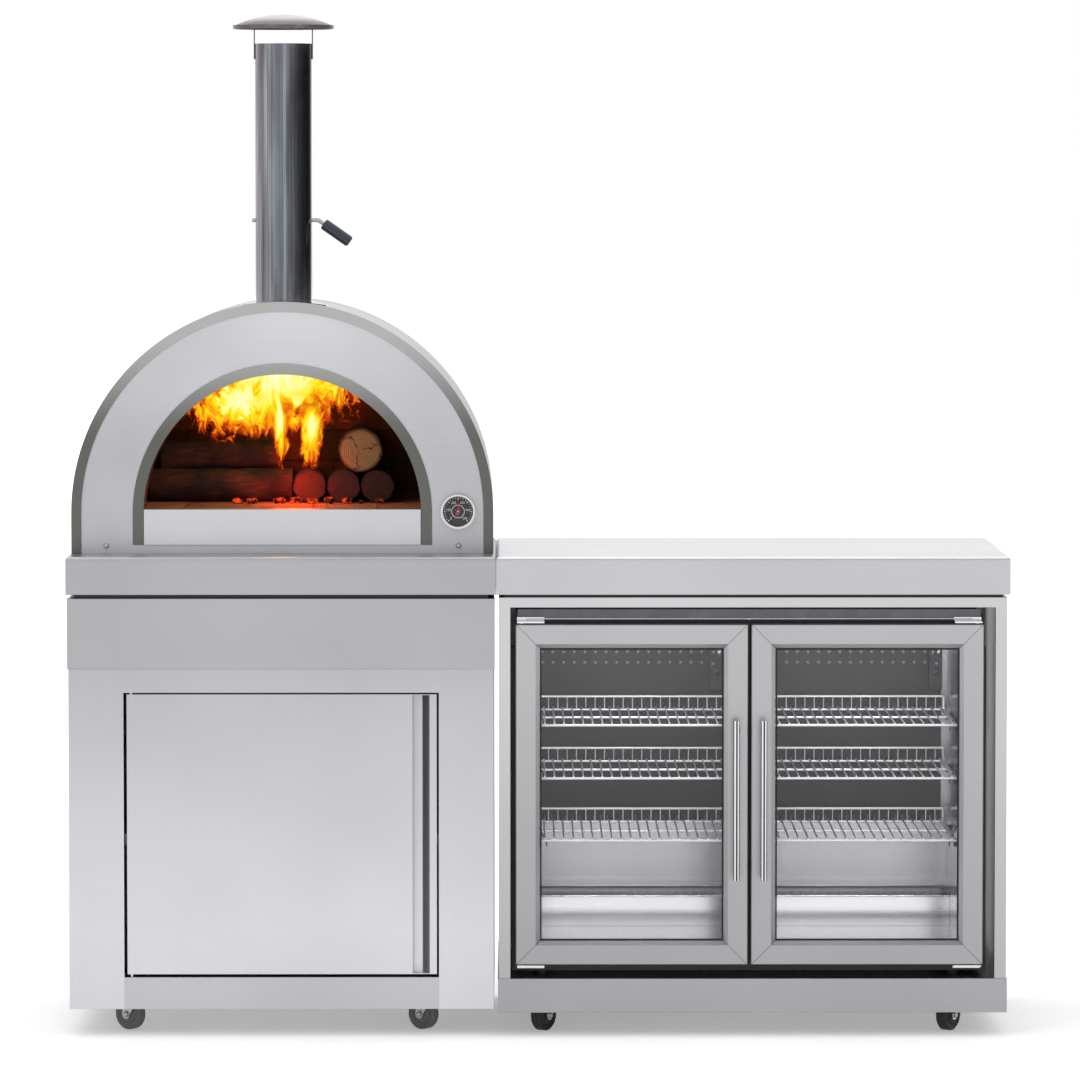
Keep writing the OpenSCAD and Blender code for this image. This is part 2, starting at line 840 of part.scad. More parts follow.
// Panel under the mouth, with its sill running in to the bricks
module threshold_panel() {
  gap = 0.5;
  x0 = oven_x - mouth_r + gap;
  x1 = oven_x + mouth_r - gap;
  y0 = oven_y0 - trim_proud - oven_sheet;
  color(bright) {
    difference() {
      block([x0, y0, threshold_z], [x1, vault_y0, sill_z]);
      block([x0 - cut, y0 + oven_sheet, threshold_z - cut], [x1 + cut, vault_y0 + cut, sill_z - oven_sheet]);
    }
  }
}

module oven_vault() {
  color("rosybrown")
    difference() {
      arch_solid(vault_r1, vault_leg, vault_y0, vault_y1);
      arch_solid(vault_r, vault_leg + cut, vault_y0 + vault_wall, vault_y1 - vault_wall);
      arch_solid(mouth_r, vault_leg + cut, vault_y0 - cut, vault_y0 + vault_wall + cut);
      translate([oven_x, flue_y, arch_z])
        cylinder(h = vault_r1 + cut, r = flue_r + flue_clear);
    }
}

module oven_insulation() {
  y0 = oven_y0 + oven_sheet;
  y1 = oven_y1 - oven_sheet;
  collar_leg = arch_z - threshold_z;
  color("khaki")
    difference() {
      arch_solid(oven_r - oven_sheet, arch_rise, y0, y1);
      arch_solid(vault_r1, vault_leg, vault_y0, vault_y1);
      arch_solid(mouth_r + collar_w, collar_leg, y0 - cut, vault_y0);
      translate([oven_x, flue_y, arch_z])
        cylinder(h = oven_r, r = flue_r + flue_clear);
      translate([oven_x + gauge_x, y0 - cut, gauge_z])
        rotate([-90, 0, 0])
          cylinder(h = probe_l + 2 * cut, r = gauge_r / 4);
    }
}

module hearth_bricks() {
  x0 = oven_x - vault_r;
  brick_w = 2 * vault_r / bricks_across;
  y0 = vault_y0 + vault_wall;
  brick_d = (vault_y1 - vault_wall - y0) / bricks_deep;
  color("tan") {
    for (i = [0:bricks_across - 1])
      for (j = [0:bricks_deep - 1])
        block([x0 + i * brick_w + brick_joint / 2, y0 + j * brick_d + brick_joint / 2, hearth_z],
              [x0 + (i + 1) * brick_w - brick_joint / 2, y0 + (j + 1) * brick_d - brick_joint / 2, sill_z]);
    block([oven_x - mouth_r + brick_joint, vault_y0, hearth_z], [oven_x + mouth_r - brick_joint, y0, sill_z]);
  }
}

// A log lying along Y, resting at height z
module log_along(x, y0, z, r, l) {
  translate([x, y0, z])
    rotate([-90, 0, 0])
      cylinder(h = l, r = r, $fn = 24);
}

// A log lying along X with one end at x0
module log_across(x0, y, z, r, l) {
  translate([x0, y, z])
    rotate([0, 90, 0])
      cylinder(h = l, r = r, $fn = 24);
}

module firewood() {
  r = 0.75 * log_r;
  gap = 0.3;
  step = 2 * r + gap;
  y1 = vault_y1 - vault_wall - log_back_gap;
  y0 = y1 - log_l;
  x_row = oven_x + log_row_x;
  across_l = across_part * log_l;
  across_x1 = x_row - r - log_side_gap;
  top_in = across_l / 14;
  // Height of a log that lies in the groove between two equal ones
  nest = sqrt(pow(2 * r + gap, 2) - pow(step / 2, 2));
  nest_big = sqrt(pow(r + log_r + gap, 2) - pow(step / 2, 2));
  color("saddlebrown") {
    for (i = [0:2])
      log_along(x_row + i * step, y0, sill_z + r, r, log_l);
    log_along(x_row + 1.5 * step, y0, sill_z + r + nest_big, log_r, log_l);
    for (i = [0, 1])
      log_across(across_x1 - across_l, y1 - r - i * step, sill_z + r, r, across_l);
    log_across(across_x1 - across_l + top_in, y1 - r - step / 2, sill_z + r + nest, r, across_l - 2 * top_in);
  }
}

// Cup with a bezel, a pivot pin and the probe behind the face
module thermometer_case() {
  translate([oven_x + gauge_x, oven_y0, gauge_z])
    rotate([90, 0, 0]) {
      color(dark_steel) {
        difference() {
          cylinder(h = gauge_d, r = gauge_r);
          translate([0, 0, gauge_floor])
            cylinder(h = gauge_d, r = gauge_r - gauge_wall);
        }
        translate([0, 0, gauge_floor])
          cylinder(h = needle_out + dial_t - gauge_floor + 0.5, r = gauge_pin_r);
        translate([0, 0, -probe_l])
          cylinder(h = probe_l, r = 3);
      }
      color(black)
        translate([0, 0, gauge_floor])
          difference() {
            cylinder(h = dial_t, r = gauge_r - gauge_wall);
            translate([0, 0, -cut])
              cylinder(h = dial_t + 2 * cut, r = gauge_pin_r + running);
          }
    }
}

module thermometer_needle() {
  hub_t = 1.5;
  hub_r = 3.5;
  tail_w = 4;
  waist_w = 2.8;
  tip_w = 0.6;
  color("red")
    translate([oven_x + gauge_x, oven_y0 - needle_out, gauge_z])
      rotate([90, needle_rest, 0])
        difference() {
          union() {
            cylinder(h = hub_t, r = hub_r);
            linear_extrude(1)
              polygon([
                [-tail_w / 2, -needle_tail], [tail_w / 2, -needle_tail], [waist_w / 2, 0],
                [tip_w / 2, needle_l], [-tip_w / 2, needle_l], [-waist_w / 2, 0]
              ]);
          }
          translate([0, 0, -cut])
            cylinder(h = hub_t + 2 * cut, r = gauge_pin_r + running);
        }
}

module thermometer_lens() {
  color([0.8, 0.9, 0.95, 0.4])
    translate([oven_x + gauge_x, gauge_front + lens_t + 1, gauge_z])
      rotate([90, 0, 0])
        cylinder(h = lens_t, r = gauge_r - gauge_wall - running);
}

// Section of the lower pipe, narrowed at its top to enter the upper one
module lower_pipe_section() {
  z0 = arch_z + vault_r + vault_wall / 2;
  r_in = flue_r - flue_wall;
  r_spigot = r_in - running;
  polygon([
    [r_in, z0], [flue_r, z0], [flue_r, joint_z], [r_spigot, joint_z],
    [r_spigot, joint_z + flue_slip], [r_spigot - flue_wall, joint_z + flue_slip],
    [r_spigot - flue_wall, joint_z - flue_wall], [r_in, joint_z - 3 * flue_wall]
  ]);
}

// Flange that follows the shell round the foot of the pipe
module flue_flange() {
  difference() {
    intersection() {
      translate([oven_x, flue_y, arch_z + cut])
        cylinder(h = oven_r + oven_sheet, r = flange_r);
      arch_band(oven_r + oven_sheet, oven_r, cut, flue_y - flange_r - cut, flue_y + flange_r + cut);
    }
    translate([oven_x, flue_y, arch_z])
      cylinder(h = oven_r + 2 * oven_sheet, r = flue_r - flue_wall / 2);
  }
}

module flue_lower() {
  color(bright)
    difference() {
      union() {
        translate([oven_x, flue_y, 0])
          rotate_extrude()
            lower_pipe_section();
        flue_flange();
      }
      translate([oven_x - 2 * flue_r, flue_y, damper_z])
        rotate([0, 90, 0])
          cylinder(h = 4 * flue_r, r = damper_shaft_r + running);
    }
}

module flue_upper() {
  color(bright)
    translate([oven_x, flue_y, joint_z])
      difference() {
        cylinder(h = flue_upper_h, r = flue_r);
        translate([0, 0, -cut])
          cylinder(h = flue_upper_h + 2 * cut, r = flue_r - flue_wall);
      }
}

// Round butterfly plate on its shaft, with the bent rod of the grip
module damper_plate() {
  plate_r = flue_r - 2 * flue_wall - damper_clear;
  shaft_end = 6;
  color(dark_steel)
    translate([oven_x, flue_y, damper_z]) {
      rotate([90, 0, 0])
        translate([0, 0, -damper_t / 2])
          cylinder(h = damper_t, r = plate_r);
      translate([-flue_r - shaft_end, 0, 0])
        rotate([0, 90, 0])
          cylinder(h = flue_r + shaft_end + rod_out, r = damper_shaft_r);
      translate([rod_out, 0, 0]) {
        sphere(damper_shaft_r);
        rotate([0, 90 + grip_tilt, 0])
          cylinder(h = damper_rod_l, r = damper_shaft_r);
      }
    }
}

module damper_grip() {
  edge = 2;
  dome = 3;
  color([0.15, 0.17, 0.22])
    translate([oven_x + rod_out, flue_y, damper_z])
      rotate([0, 90 + grip_tilt, 0])
        translate([0, 0, damper_rod_l])
          rotate_extrude()
            polygon([
              [0, 0], [grip_r - edge, 0], [grip_r, edge],
              [grip_r, grip_l - dome], [grip_r - dome, grip_l], [0, grip_l]
            ]);
}

// Part of a sphere of radius r whose rim of radius w lies at z = 0
module dome(r, w) {
  z = sqrt(r * r - w * w);
  intersection() {
    translate([0, 0, -z])
      sphere(r);
    cylinder(h = r, r = w);
  }
}

// Shallow dome with a rim turned down, on two straps
module flue_cap() {
  strap_t = 2;
  strap_lap = 30;
  rim_h = 6;
  rim_t = 1.5;
  dome_r = (cap_r * cap_r + cap_h * cap_h) / (2 * cap_h);
  weld_in = 0.3;
  strap_reach = sqrt(pow(dome_r, 2) - pow(flue_r + strap_t, 2)) - dome_r + cap_h - weld_in;
  color(dark_steel)
    translate([oven_x, flue_y, 0]) {
      translate([0, 0, cap_z]) {
        difference() {
          dome(dome_r, cap_r);
          translate([0, 0, -rim_t])
            dome(dome_r, cap_r + cut);
        }
        translate([0, 0, -rim_h])
          difference() {
            cylinder(h = rim_h + rim_t, r = cap_r + rim_t);
            translate([0, 0, -cut])
              cylinder(h = rim_h + rim_t + 2 * cut, r = cap_r - rim_t / 2);
          }
      }
      for (a = [0, 180])
        rotate([0, 0, a]) {
          translate([flue_r, -strap_w / 2, flue_top - strap_lap])
            cube([strap_t, strap_w, strap_lap + cap_gap + strap_reach]);
        }
    }
}

// Side panels with folded stiles, the rail under the fascia and the rear rail
module fridge_bench_frame() {
  color(steel) {
    for (side = [0, 1])
      translate([side * (frame_x1 + frame_x0), 0, 0])
        mirror([side, 0, 0]) {
          block([frame_x0, y_face + sheet, base_top], [frame_x0 + sheet, y_rear, sub_rail_z0]);
          block([frame_x0, y_face, base_top], [frame_x0 + fridge_stile_w, y_face + sheet, sub_rail_z0]);
          block([frame_x0 + fridge_stile_w - sheet, y_face + sheet, base_top],
                [frame_x0 + fridge_stile_w, y_face + stile_return, sub_rail_z0]);
          block([frame_x0 + sheet, y_rear - sheet, base_top],
                [frame_x0 + 2 * fridge_stile_w, y_rear, sub_rail_z0]);
        }
    front_channel(frame_x0, frame_x1, sub_rail_z0, sub_rail_z1, y_face, y_fold);
    block([frame_x0, y_fold, sub_rail_z0], [frame_x0 + sheet, y_rear, sub_rail_z1]);
    block([frame_x1 - sheet, y_fold, sub_rail_z0], [frame_x1, y_rear, sub_rail_z1]);
    block([frame_x0 + sheet, y_rear - sheet, sub_rail_z0], [frame_x1 - sheet, y_rear, sub_rail_z1]);
    top_flanges(frame_x0 + sheet, frame_x1 - sheet, sub_rail_z1);
  }
}

// Floor plate on four rails, with two channels for the casters
module fridge_bench_base() {
  x0 = frame_x0 - base_proud;
  x1 = frame_x1 + base_proud;
  y0 = y_face - base_proud;
  y1 = y_rear + base_proud;
  z0 = fridge_plinth_z;
  z1 = base_top - sheet;
  color(steel) {
    block([x0, y0, z1], [x1, y1, base_top]);
    block([x0, y0, z0], [x1, y0 + sheet, z1]);
    block([x0, y1 - sheet, z0], [x1, y1, z1]);
    block([x0, y0 + sheet, z0], [x0 + sheet, y1 - sheet, z1]);
    block([x1 - sheet, y0 + sheet, z0], [x1, y1 - sheet, z1]);
    for (y = [caster_y0, caster_y1])
      caster_beam(x0 + sheet, x1 - sheet, y, caster_h, z1);
  }
}

// Two rows of shallow vent slots over the machine space, cut into the case's back
module vent_slots() {
  for (x = [fridge_x - vent_apart / 2 - vent_w, fridge_x + vent_apart / 2])
    for (i = [0:vent_count - 1])
      translate([x, case_y1 - vent_depth, case_z0 + vent_rise + i * vent_pitch])
        cube([vent_w, vent_depth + cut, vent_h]);
}

// Foamed case with two compartments, a step over the machine space, side strips and feet
module fridge_case() {
  strip_z0 = case_z0;
  strip_z1 = case_z1 - side_strip_drop;
  color(black) {
    difference() {
      block([case_x0, case_y0, case_z0], [case_x1, case_y1, case_z1]);
      for (x = rooms)
        difference() {
          block([x, case_y0 - cut, room_z0], [x + room_w, room_y1, room_z1]);
          translate([x - cut, room_y1, room_z0])
            rotate([90, 0, 90])
              linear_extrude(room_w + 2 * cut)
                polygon([
                  [-hump_d, -cut], [-hump_d, hump_h * 0.75], [-hump_d * 0.7, hump_h],
                  [cut, hump_h], [cut, -cut]
                ]);
        }
      vent_slots();
    }
    block([case_x0 - side_strip_t, case_y0, strip_z0], [case_x0, case_y0 + side_strip_d, strip_z1]);
    block([case_x1, case_y0, strip_z0], [case_x1 + side_strip_t, case_y0 + side_strip_d, strip_z1]);
    for (x = [case_x0 + foot_inset, case_x1 - foot_inset])
      for (y = [case_y0 + foot_inset, case_y1 - foot_inset])
        translate([x, y, base_top])
          cylinder(h = foot_h, r = foot_r);
  }
}

// Fan cover and controller at the back of each compartment
module fan_covers() {
  z0 = fan_cover_z0;
  recess = 3;
  for (x = rooms) {
    x0 = x + fan_cover_margin;
    x1 = x + room_w - fan_cover_margin;
    color([0.32, 0.32, 0.33])
      difference() {
        block([x0, room_y1 - fan_cover_t, z0], [x1, room_y1, fan_cover_top]);
        for (xs = [x0 + fan_screw_in, x1 - fan_screw_in])
          translate([xs, room_y1 - fan_cover_t - cut, fan_screw_z])
            rotate([-90, 0, 0])
              cylinder(h = recess + cut, r = fan_screw_r + 1);
      }
    color(black) {
      block([x1 - controller_w, room_y1 - fan_cover_t - controller_d, room_z1 - controller_h],
            [x1, room_y1 - fan_cover_t, fan_cover_top]);
      for (xs = [x0 + fan_screw_in, x1 - fan_screw_in])
        translate([xs, room_y1 - fan_cover_t - cut, fan_screw_z])
          rotate([-90, 0, 0])
            cylinder(h = recess + cut, r = fan_screw_r);
    }
  }
}

// A wire between two points along X or Y
module wire_x(x0, x1, y, z, r) {
  translate([x0, y, z])
    rotate([0, 90, 0])
      cylinder(h = x1 - x0, r = r, $fn = 16);
}

module wire_y(x, y0, y1, z, r) {
  translate([x, y0, z])
    rotate([-90, 0, 0])
      cylinder(h = y1 - y0, r = r, $fn = 16);
}

module wire_z(x, y, z0, z1, r) {
  translate([x, y, z0])
    cylinder(h = z1 - z0, r = r, $fn = 16);
}

// One wire shelf in the compartment that starts at x
module wire_shelf(x, z) {
  x0 = x + shelf_side_gap + border_wire_r;
  x1 = x + room_w - shelf_side_gap - border_wire_r;
  y0 = shelf_y0;
  y1 = shelf_y1;
  r = border_wire_r;
  rungs = floor((x1 - x0) / rung_pitch);
  start = (x0 + x1) / 2 - rungs * rung_pitch / 2;
  rung_z = z + r + rung_wire_r - weld;
  wire_x(x0, x1, y0, z, r);
  wire_x(x0, x1, y1, z, r);
  wire_x(x0, x1, (y0 + y1) / 2, z, r);
  for (i = [0:rungs])
    wire_y(start + i * rung_pitch, y0 - r, y1 + r, rung_z, rung_wire_r);
  for (s = [x0, x1])
    wire_y(s, y0, y1, z, r);
  for (s = [x0, x1])
    wire_z(s, y1, z, z + fence_h, r);
  wire_x(x0, x1, y1, z + fence_h, r);
}

module wire_shelves() {
  color(bright)
    for (x = rooms)
      for (z = shelf_levels)
        wire_shelf(x, room_z0 + z);
}

// Plastic clips on the walls that carry the shelves' side wires
module shelf_clips() {
  w = shelf_side_gap + border_wire_r - clip_clear;
  color(black)
    for (x = rooms)
      for (z = shelf_levels)
        for (side = [0, 1])
          for (y = [case_y0 + clip_front, case_y0 + wire_shelf_d - clip_back]) {
            xs = side == 0 ? x : x + room_w - w;
            top = room_z0 + z - border_wire_r;
            block([xs, y, top - clip_h], [xs + w, y + clip_d, top]);
          }
}

// A block whose four sides spread by grow between its front and its back
module flared_block(low, high, grow) {
  g = abs(grow);
  intersection() {
    translate([0, 0, low[2] - g])
      linear_extrude(high[2] - low[2] + 2 * g)
        polygon([
          [low[0], low[1]], [high[0], low[1]],
          [high[0] + grow, high[1]], [low[0] - grow, high[1]]
        ]);
    translate([low[0] - g, 0, 0])
      rotate([90, 0, 90])
        linear_extrude(high[0] - low[0] + 2 * g)
          polygon([
            [low[1], low[2]], [low[1], high[2]],
            [high[1], high[2] + grow], [high[1], low[2] - grow]
          ]);
  }
}

// Welded frame with a bevel round its opening and a slot for the pane, its left edge at x0
module door_frame(x0, axis_x) {
  x1 = x0 + glass_door_w;
  z0 = glass_door_z0;
  z1 = glass_door_z1;
  y1 = y_face + glass_door_t;
  m = member_edge;
  b = member_w - bevel_w - cut;
  s = member_w - pane_slot;
  w = member_w;
  color(steel)
    difference() {
      union() {
        flared_block([x0 + m, y_face, z0 + m], [x1 - m, y_face + m, z1 - m], m);
        block([x0, y_face + m, z0], [x1, y1, z1]);
      }
      flared_block([x0 + b, y_face - cut, z0 + b], [x1 - b, y_face + bevel_w, z1 - b], -bevel_w - cut);
      block([x0 + w, y_face, z0 + w], [x1 - w, y1 + cut, z1 - w]);
      block([x0 + s, y_face + pane_back - pane_clear, z0 + s],
            [x1 - s, y_face + pane_back + pane_t + pane_clear, z1 - s]);
      for (z = [glass_door_z0 - cut, glass_door_z1 - hinge_depth])
        translate([axis_x, glass_axis_y, z])
          cylinder(h = hinge_depth + cut, r = hinge_r + running);
    }
}

module door_glass(x0) {
  e = member_w - pane_slot + pane_clear;
  color([0.75, 0.85, 0.88, 0.35])
    block([x0 + e, y_face + pane_back, glass_door_z0 + e],
          [x0 + glass_door_w - e, y_face + pane_back + pane_t, glass_door_z1 - e]);
}

module door_gasket(x0) {
  y0 = y_face + glass_door_t;
  e = gasket_in;
  i = gasket_in + gasket_w;
  color([0.15, 0.15, 0.15])
    difference() {
      block([x0 + e, y0, glass_door_z0 + e], [x0 + glass_door_w - e, y0 + gasket_t, glass_door_z1 - e]);
      block([x0 + i, y0 - cut, glass_door_z0 + i],
            [x0 + glass_door_w - i, y0 + gasket_t + cut, glass_door_z1 - i]);
    }
}

// Round bar on two posts, in front of the frame member at x
module door_handle(x) {
  z = glass_door_z0 + bar_rise;
  color(bright) {
    translate([x, y_face - bar_out, z - bar_l / 2])
      cylinder(h = bar_l, r = bar_r);
    for (side = [-1, 1])
      translate([x, y_face, z + side * (bar_l / 2 - post_in)])
        rotate([90, 0, 0])
          cylinder(h = bar_out, r = post_r);
  }
}

// Bracket on the case's front with a pin into the glass door
module glass_hinge(axis_x, side, end) {
  edge_z = end > 0 ? glass_door_z1 : glass_door_z0;
  x0 = axis_x - (side > 0 ? bracket_end : bracket_l - bracket_end);
  z0 = end > 0 ? edge_z + bracket_gap : edge_z - bracket_gap - bracket_t;
  leg_z = end > 0 ? z0 : z0 + bracket_t - bracket_leg;
  pin_z = end > 0 ? edge_z - hinge_depth + cut : z0;
  block([x0, glass_axis_y - bracket_half, z0], [x0 + bracket_l, case_y0, z0 + bracket_t]);
  block([x0, case_y0 - bracket_t, leg_z], [x0 + bracket_l, case_y0, leg_z + bracket_leg]);
  translate([axis_x, glass_axis_y, pin_z])
    cylinder(h = hinge_depth + bracket_gap + bracket_t - cut, r = hinge_r);
}

// Pins of the cabinet door and brackets of the glass doors
module door_hinges() {
  color(bright) {
    translate([door_axis_x, door_axis_y, floor_top])
      cylinder(h = door_gap_bottom + pivot_depth, r = pivot_r);
    translate([door_axis_x, door_axis_y, door_z1 - pivot_depth])
      cylinder(h = door_gap_top + pivot_depth, r = pivot_r);
    for (end = [-1, 1]) {
      glass_hinge(left_axis_x, 1, end);
      glass_hinge(right_axis_x, -1, end);
    }
  }
}

// Moves a caster's parts to its place and turns them to its direction
module at_caster(i) {
  translate([casters[i][0], casters[i][1], 0])
    rotate([0, 0, casters[i][2]])
      children();
}

module caster_plates() {
  half = caster_plate_w / 2;
  color(dark_steel)
    for (i = [0:len(casters) - 1])
      translate([casters[i][0], casters[i][1], 0])
        difference() {
          union() {
            block([-half, -half, caster_h - plate_t], [half, half, caster_h]);
            translate([0, 0, caster_h - plate_t - cup_t])
              cylinder(h = cup_t + cut, r = cup_r);
          }
          translate([0, 0, caster_h - plate_t - cup_t - cut])
            cylinder(h = plate_t + cup_t + 2 * cut, r = stem_r + running);
        }
}

// Side outline of a fork's leg, across the trail and up
module fork_leg_outline() {
  e = fork_eye_r;
  polygon([[-cup_r, fork_top], [cup_r, fork_top], [caster_trail + e, wheel_r], [caster_trail - e, wheel_r]]);
  translate([caster_trail, wheel_r])
    circle(e);
}

module caster_fork(i) {
  leg_y = wheel_w / 2 + 1;
  color(i < 4 ? dark_steel : bright)
    at_caster(i) {
      translate([0, 0, fork_top - fork_t])
        cylinder(h = fork_t, r = fork_head_r);
      for (side = [-1, 1])
        translate([0, side * (leg_y + fork_t / 2) + fork_t / 2, 0])
          rotate([90, 0, 0])
            linear_extrude(fork_t)
              fork_leg_outline();
      fork_stem();
      translate([caster_trail, leg_y + cut, wheel_r])
        rotate([90, 0, 0])
          cylinder(h = 2 * (leg_y + cut), r = axle_r);
    }
}

// Stem that turns in the mounting plate
module fork_stem() {
  translate([0, 0, fork_top - cut])
    cylinder(h = swivel_gap + cup_t + plate_t / 2 + cut, r = stem_r);
}

module caster_wheel(i) {
  hub_r = 0.62 * wheel_r;
  bore_r = axle_r + running;
  half = wheel_w / 2;
  e = tread_edge;
  color(i < 4 ? [0.45, 0.45, 0.45] : black)
    at_caster(i)
      translate([caster_trail, 0, wheel_r])
        rotate([90, 0, 0])
          rotate_extrude()
            polygon([
              [bore_r, -half], [hub_r - hub_edge, -half], [hub_r, e - half],
              [wheel_r - e, -half], [wheel_r, e - half],
              [wheel_r, half - e], [wheel_r - e, half],
              [hub_r, half - e], [hub_r - hub_edge, half], [bore_r, half]
            ]);
}

oven_bench();
bench_bearers();
oven_cabinet_panels();
oven_cabinet_base();
oven_cabinet_frame();
apron_panel();
cabinet_shelf();
cabinet_door();
cabinet_door_liner();
oven_shell();
oven_back();
oven_face();
face_trim();
mouth_collar();
threshold_panel();
oven_vault();
oven_insulation();
hearth_bricks();
firewood();
thermometer_case();
thermometer_needle();
thermometer_lens();
flue_lower();
flue_upper();
damper_plate();
damper_grip();
flue_cap();
fridge_bench();
fridge_bench_frame();
fridge_bench_base();
fridge_case();
fan_covers();
wire_shelves();
shelf_clips();
door_frame(case_x0, left_axis_x);  // left_door_frame
door_glass(case_x0);  // left_door_glass
door_gasket(case_x0);  // left_door_gasket
door_handle(case_x0 + glass_door_w - member_w / 2);  // left_door_handle
door_frame(case_x1 - glass_door_w, right_axis_x);  // right_door_frame
door_glass(case_x1 - glass_door_w);  // right_door_glass
door_gasket(case_x1 - glass_door_w);  // right_door_gasket
door_handle(case_x1 - glass_door_w + member_w / 2);  // right_door_handle
door_hinges();
caster_plates();
caster_fork(0);  // caster_fork_1
caster_fork(1);  // caster_fork_2
caster_fork(2);  // caster_fork_3
caster_fork(3);  // caster_fork_4
caster_fork(4);  // caster_fork_5
caster_fork(5);  // caster_fork_6
caster_fork(6);  // caster_fork_7
caster_fork(7);  // caster_fork_8
caster_wheel(0);  // caster_wheel_1
caster_wheel(1);  // caster_wheel_2
caster_wheel(2);  // caster_wheel_3
caster_wheel(3);  // caster_wheel_4
caster_wheel(4);  // caster_wheel_5
caster_wheel(5);  // caster_wheel_6
caster_wheel(6);  // caster_wheel_7
caster_wheel(7);  // caster_wheel_8
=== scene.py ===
"""Outdoor kitchen: a wood-fired oven on its cabinet beside a two-door glass fridge in its bench."""

import logging
import math
import random
from contextlib import contextmanager
from dataclasses import dataclass
from enum import Enum
from typing import Any, Callable, Iterable, Iterator, Optional

import bmesh
import bpy
from mathutils import Matrix, Vector


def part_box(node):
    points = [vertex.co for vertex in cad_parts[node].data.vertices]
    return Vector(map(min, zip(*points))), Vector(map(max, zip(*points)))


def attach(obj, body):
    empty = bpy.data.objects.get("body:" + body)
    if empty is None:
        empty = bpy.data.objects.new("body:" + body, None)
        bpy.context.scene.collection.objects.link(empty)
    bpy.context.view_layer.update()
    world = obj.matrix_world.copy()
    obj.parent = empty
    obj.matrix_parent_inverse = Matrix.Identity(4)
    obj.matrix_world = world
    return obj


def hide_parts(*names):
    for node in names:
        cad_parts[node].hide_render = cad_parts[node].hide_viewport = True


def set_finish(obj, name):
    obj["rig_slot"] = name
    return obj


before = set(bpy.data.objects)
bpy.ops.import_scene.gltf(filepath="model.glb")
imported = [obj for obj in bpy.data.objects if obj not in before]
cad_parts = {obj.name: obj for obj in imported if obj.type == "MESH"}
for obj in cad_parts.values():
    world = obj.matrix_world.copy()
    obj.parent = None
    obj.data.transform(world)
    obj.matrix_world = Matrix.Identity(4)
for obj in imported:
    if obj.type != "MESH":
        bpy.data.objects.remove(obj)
log = logging.getLogger("kitchen")

Span = tuple[float, float]
Point = tuple[float, float, float]
Colour = tuple[float, float, float, float]
Tree = bpy.types.NodeTree
Socket = bpy.types.NodeSocket
Piece = bpy.types.Object
ROOT = "kitchen"
X, Y, Z = range(3)
# A face looks along an axis if that part of its normal is over this
FLAT = 0.99
WHITE = (1.0, 1.0, 1.0, 1.0)


class Grain(Enum):
    """Axis along which a brushed sheet's lines run."""

    LEVEL = 0
    UPRIGHT = 2


def linear(code: str) -> Colour:
    """Turns a colour from sRGB to linear.

    Args:
        code: The colour as #RRGGBB.

    Returns:
        The linear colour with an alpha of 1.
    """
    parts = [int(code[i : i + 2], 16) / 255 for i in (1, 3, 5)]
    red, green, blue = [c / 12.92 if c <= 0.04045 else ((c + 0.055) / 1.055) ** 2.4 for c in parts]
    return red, green, blue, 1.0


def feed(tree: Tree, node: bpy.types.Node, inputs: dict | tuple) -> None:
    """Sets or links the inputs of a node.

    Args:
        tree: The node tree.
        node: The node.
        inputs: Values or other nodes' outputs, by socket name or number, or for the first sockets in order.
    """
    for key, value in inputs.items() if isinstance(inputs, dict) else enumerate(inputs):
        if isinstance(value, Socket):
            tree.links.new(value, node.inputs[key])
        else:
            node.inputs[key].default_value = value


def add(tree: Tree, kind: str, inputs: dict | tuple = (), out: int | str = 0, **settings: Any) -> Socket:
    """Adds one node with its settings and links.

    Args:
        tree: The node tree.
        kind: The node's type, without its "ShaderNode" prefix.
        inputs: Values or other nodes' outputs, by socket name or number, or for the first sockets in order.
        out: Name or number of the output that is wanted.
        **settings: The node's properties; stops gives a colour ramp's places and colours.

    Returns:
        That output of the new node.
    """
    node = tree.nodes.new("ShaderNode" + kind)
    for key, value in settings.items():
        if key == "stops":
            ramp = node.color_ramp.elements
            while len(ramp) < len(value):
                ramp.new(1.0)
            for element, (place, code) in zip(ramp, value):
                element.position = place
                element.color = linear(code)
        else:
            setattr(node, key, value)
    feed(tree, node, inputs)
    return node.outputs[out]


@dataclass(frozen=True)
class Finish:
    """A surface finish, made into one material when it is first used."""

    name: str
    colour: str

    def material(self) -> bpy.types.Material:
        """Finds the material of this finish, and makes it if it isn't there yet.

        Returns:
            The material.
        """
        found = bpy.data.materials.get(self.name)
        if found is not None:
            return found
        made = bpy.data.materials.new(self.name)
        made.use_nodes = True
        tree = made.node_tree
        feed(tree, tree.nodes["Principled BSDF"], self.look(tree))
        return made

    def look(self, tree: Tree) -> dict:
        """Works out what the shader shows.

        Args:
            tree: The material's node tree.

        Returns:
            The shader's inputs.
        """
        return {"Base Color": linear(self.colour)}


Coats = tuple[tuple[Finish, tuple[str, ...]], ...]


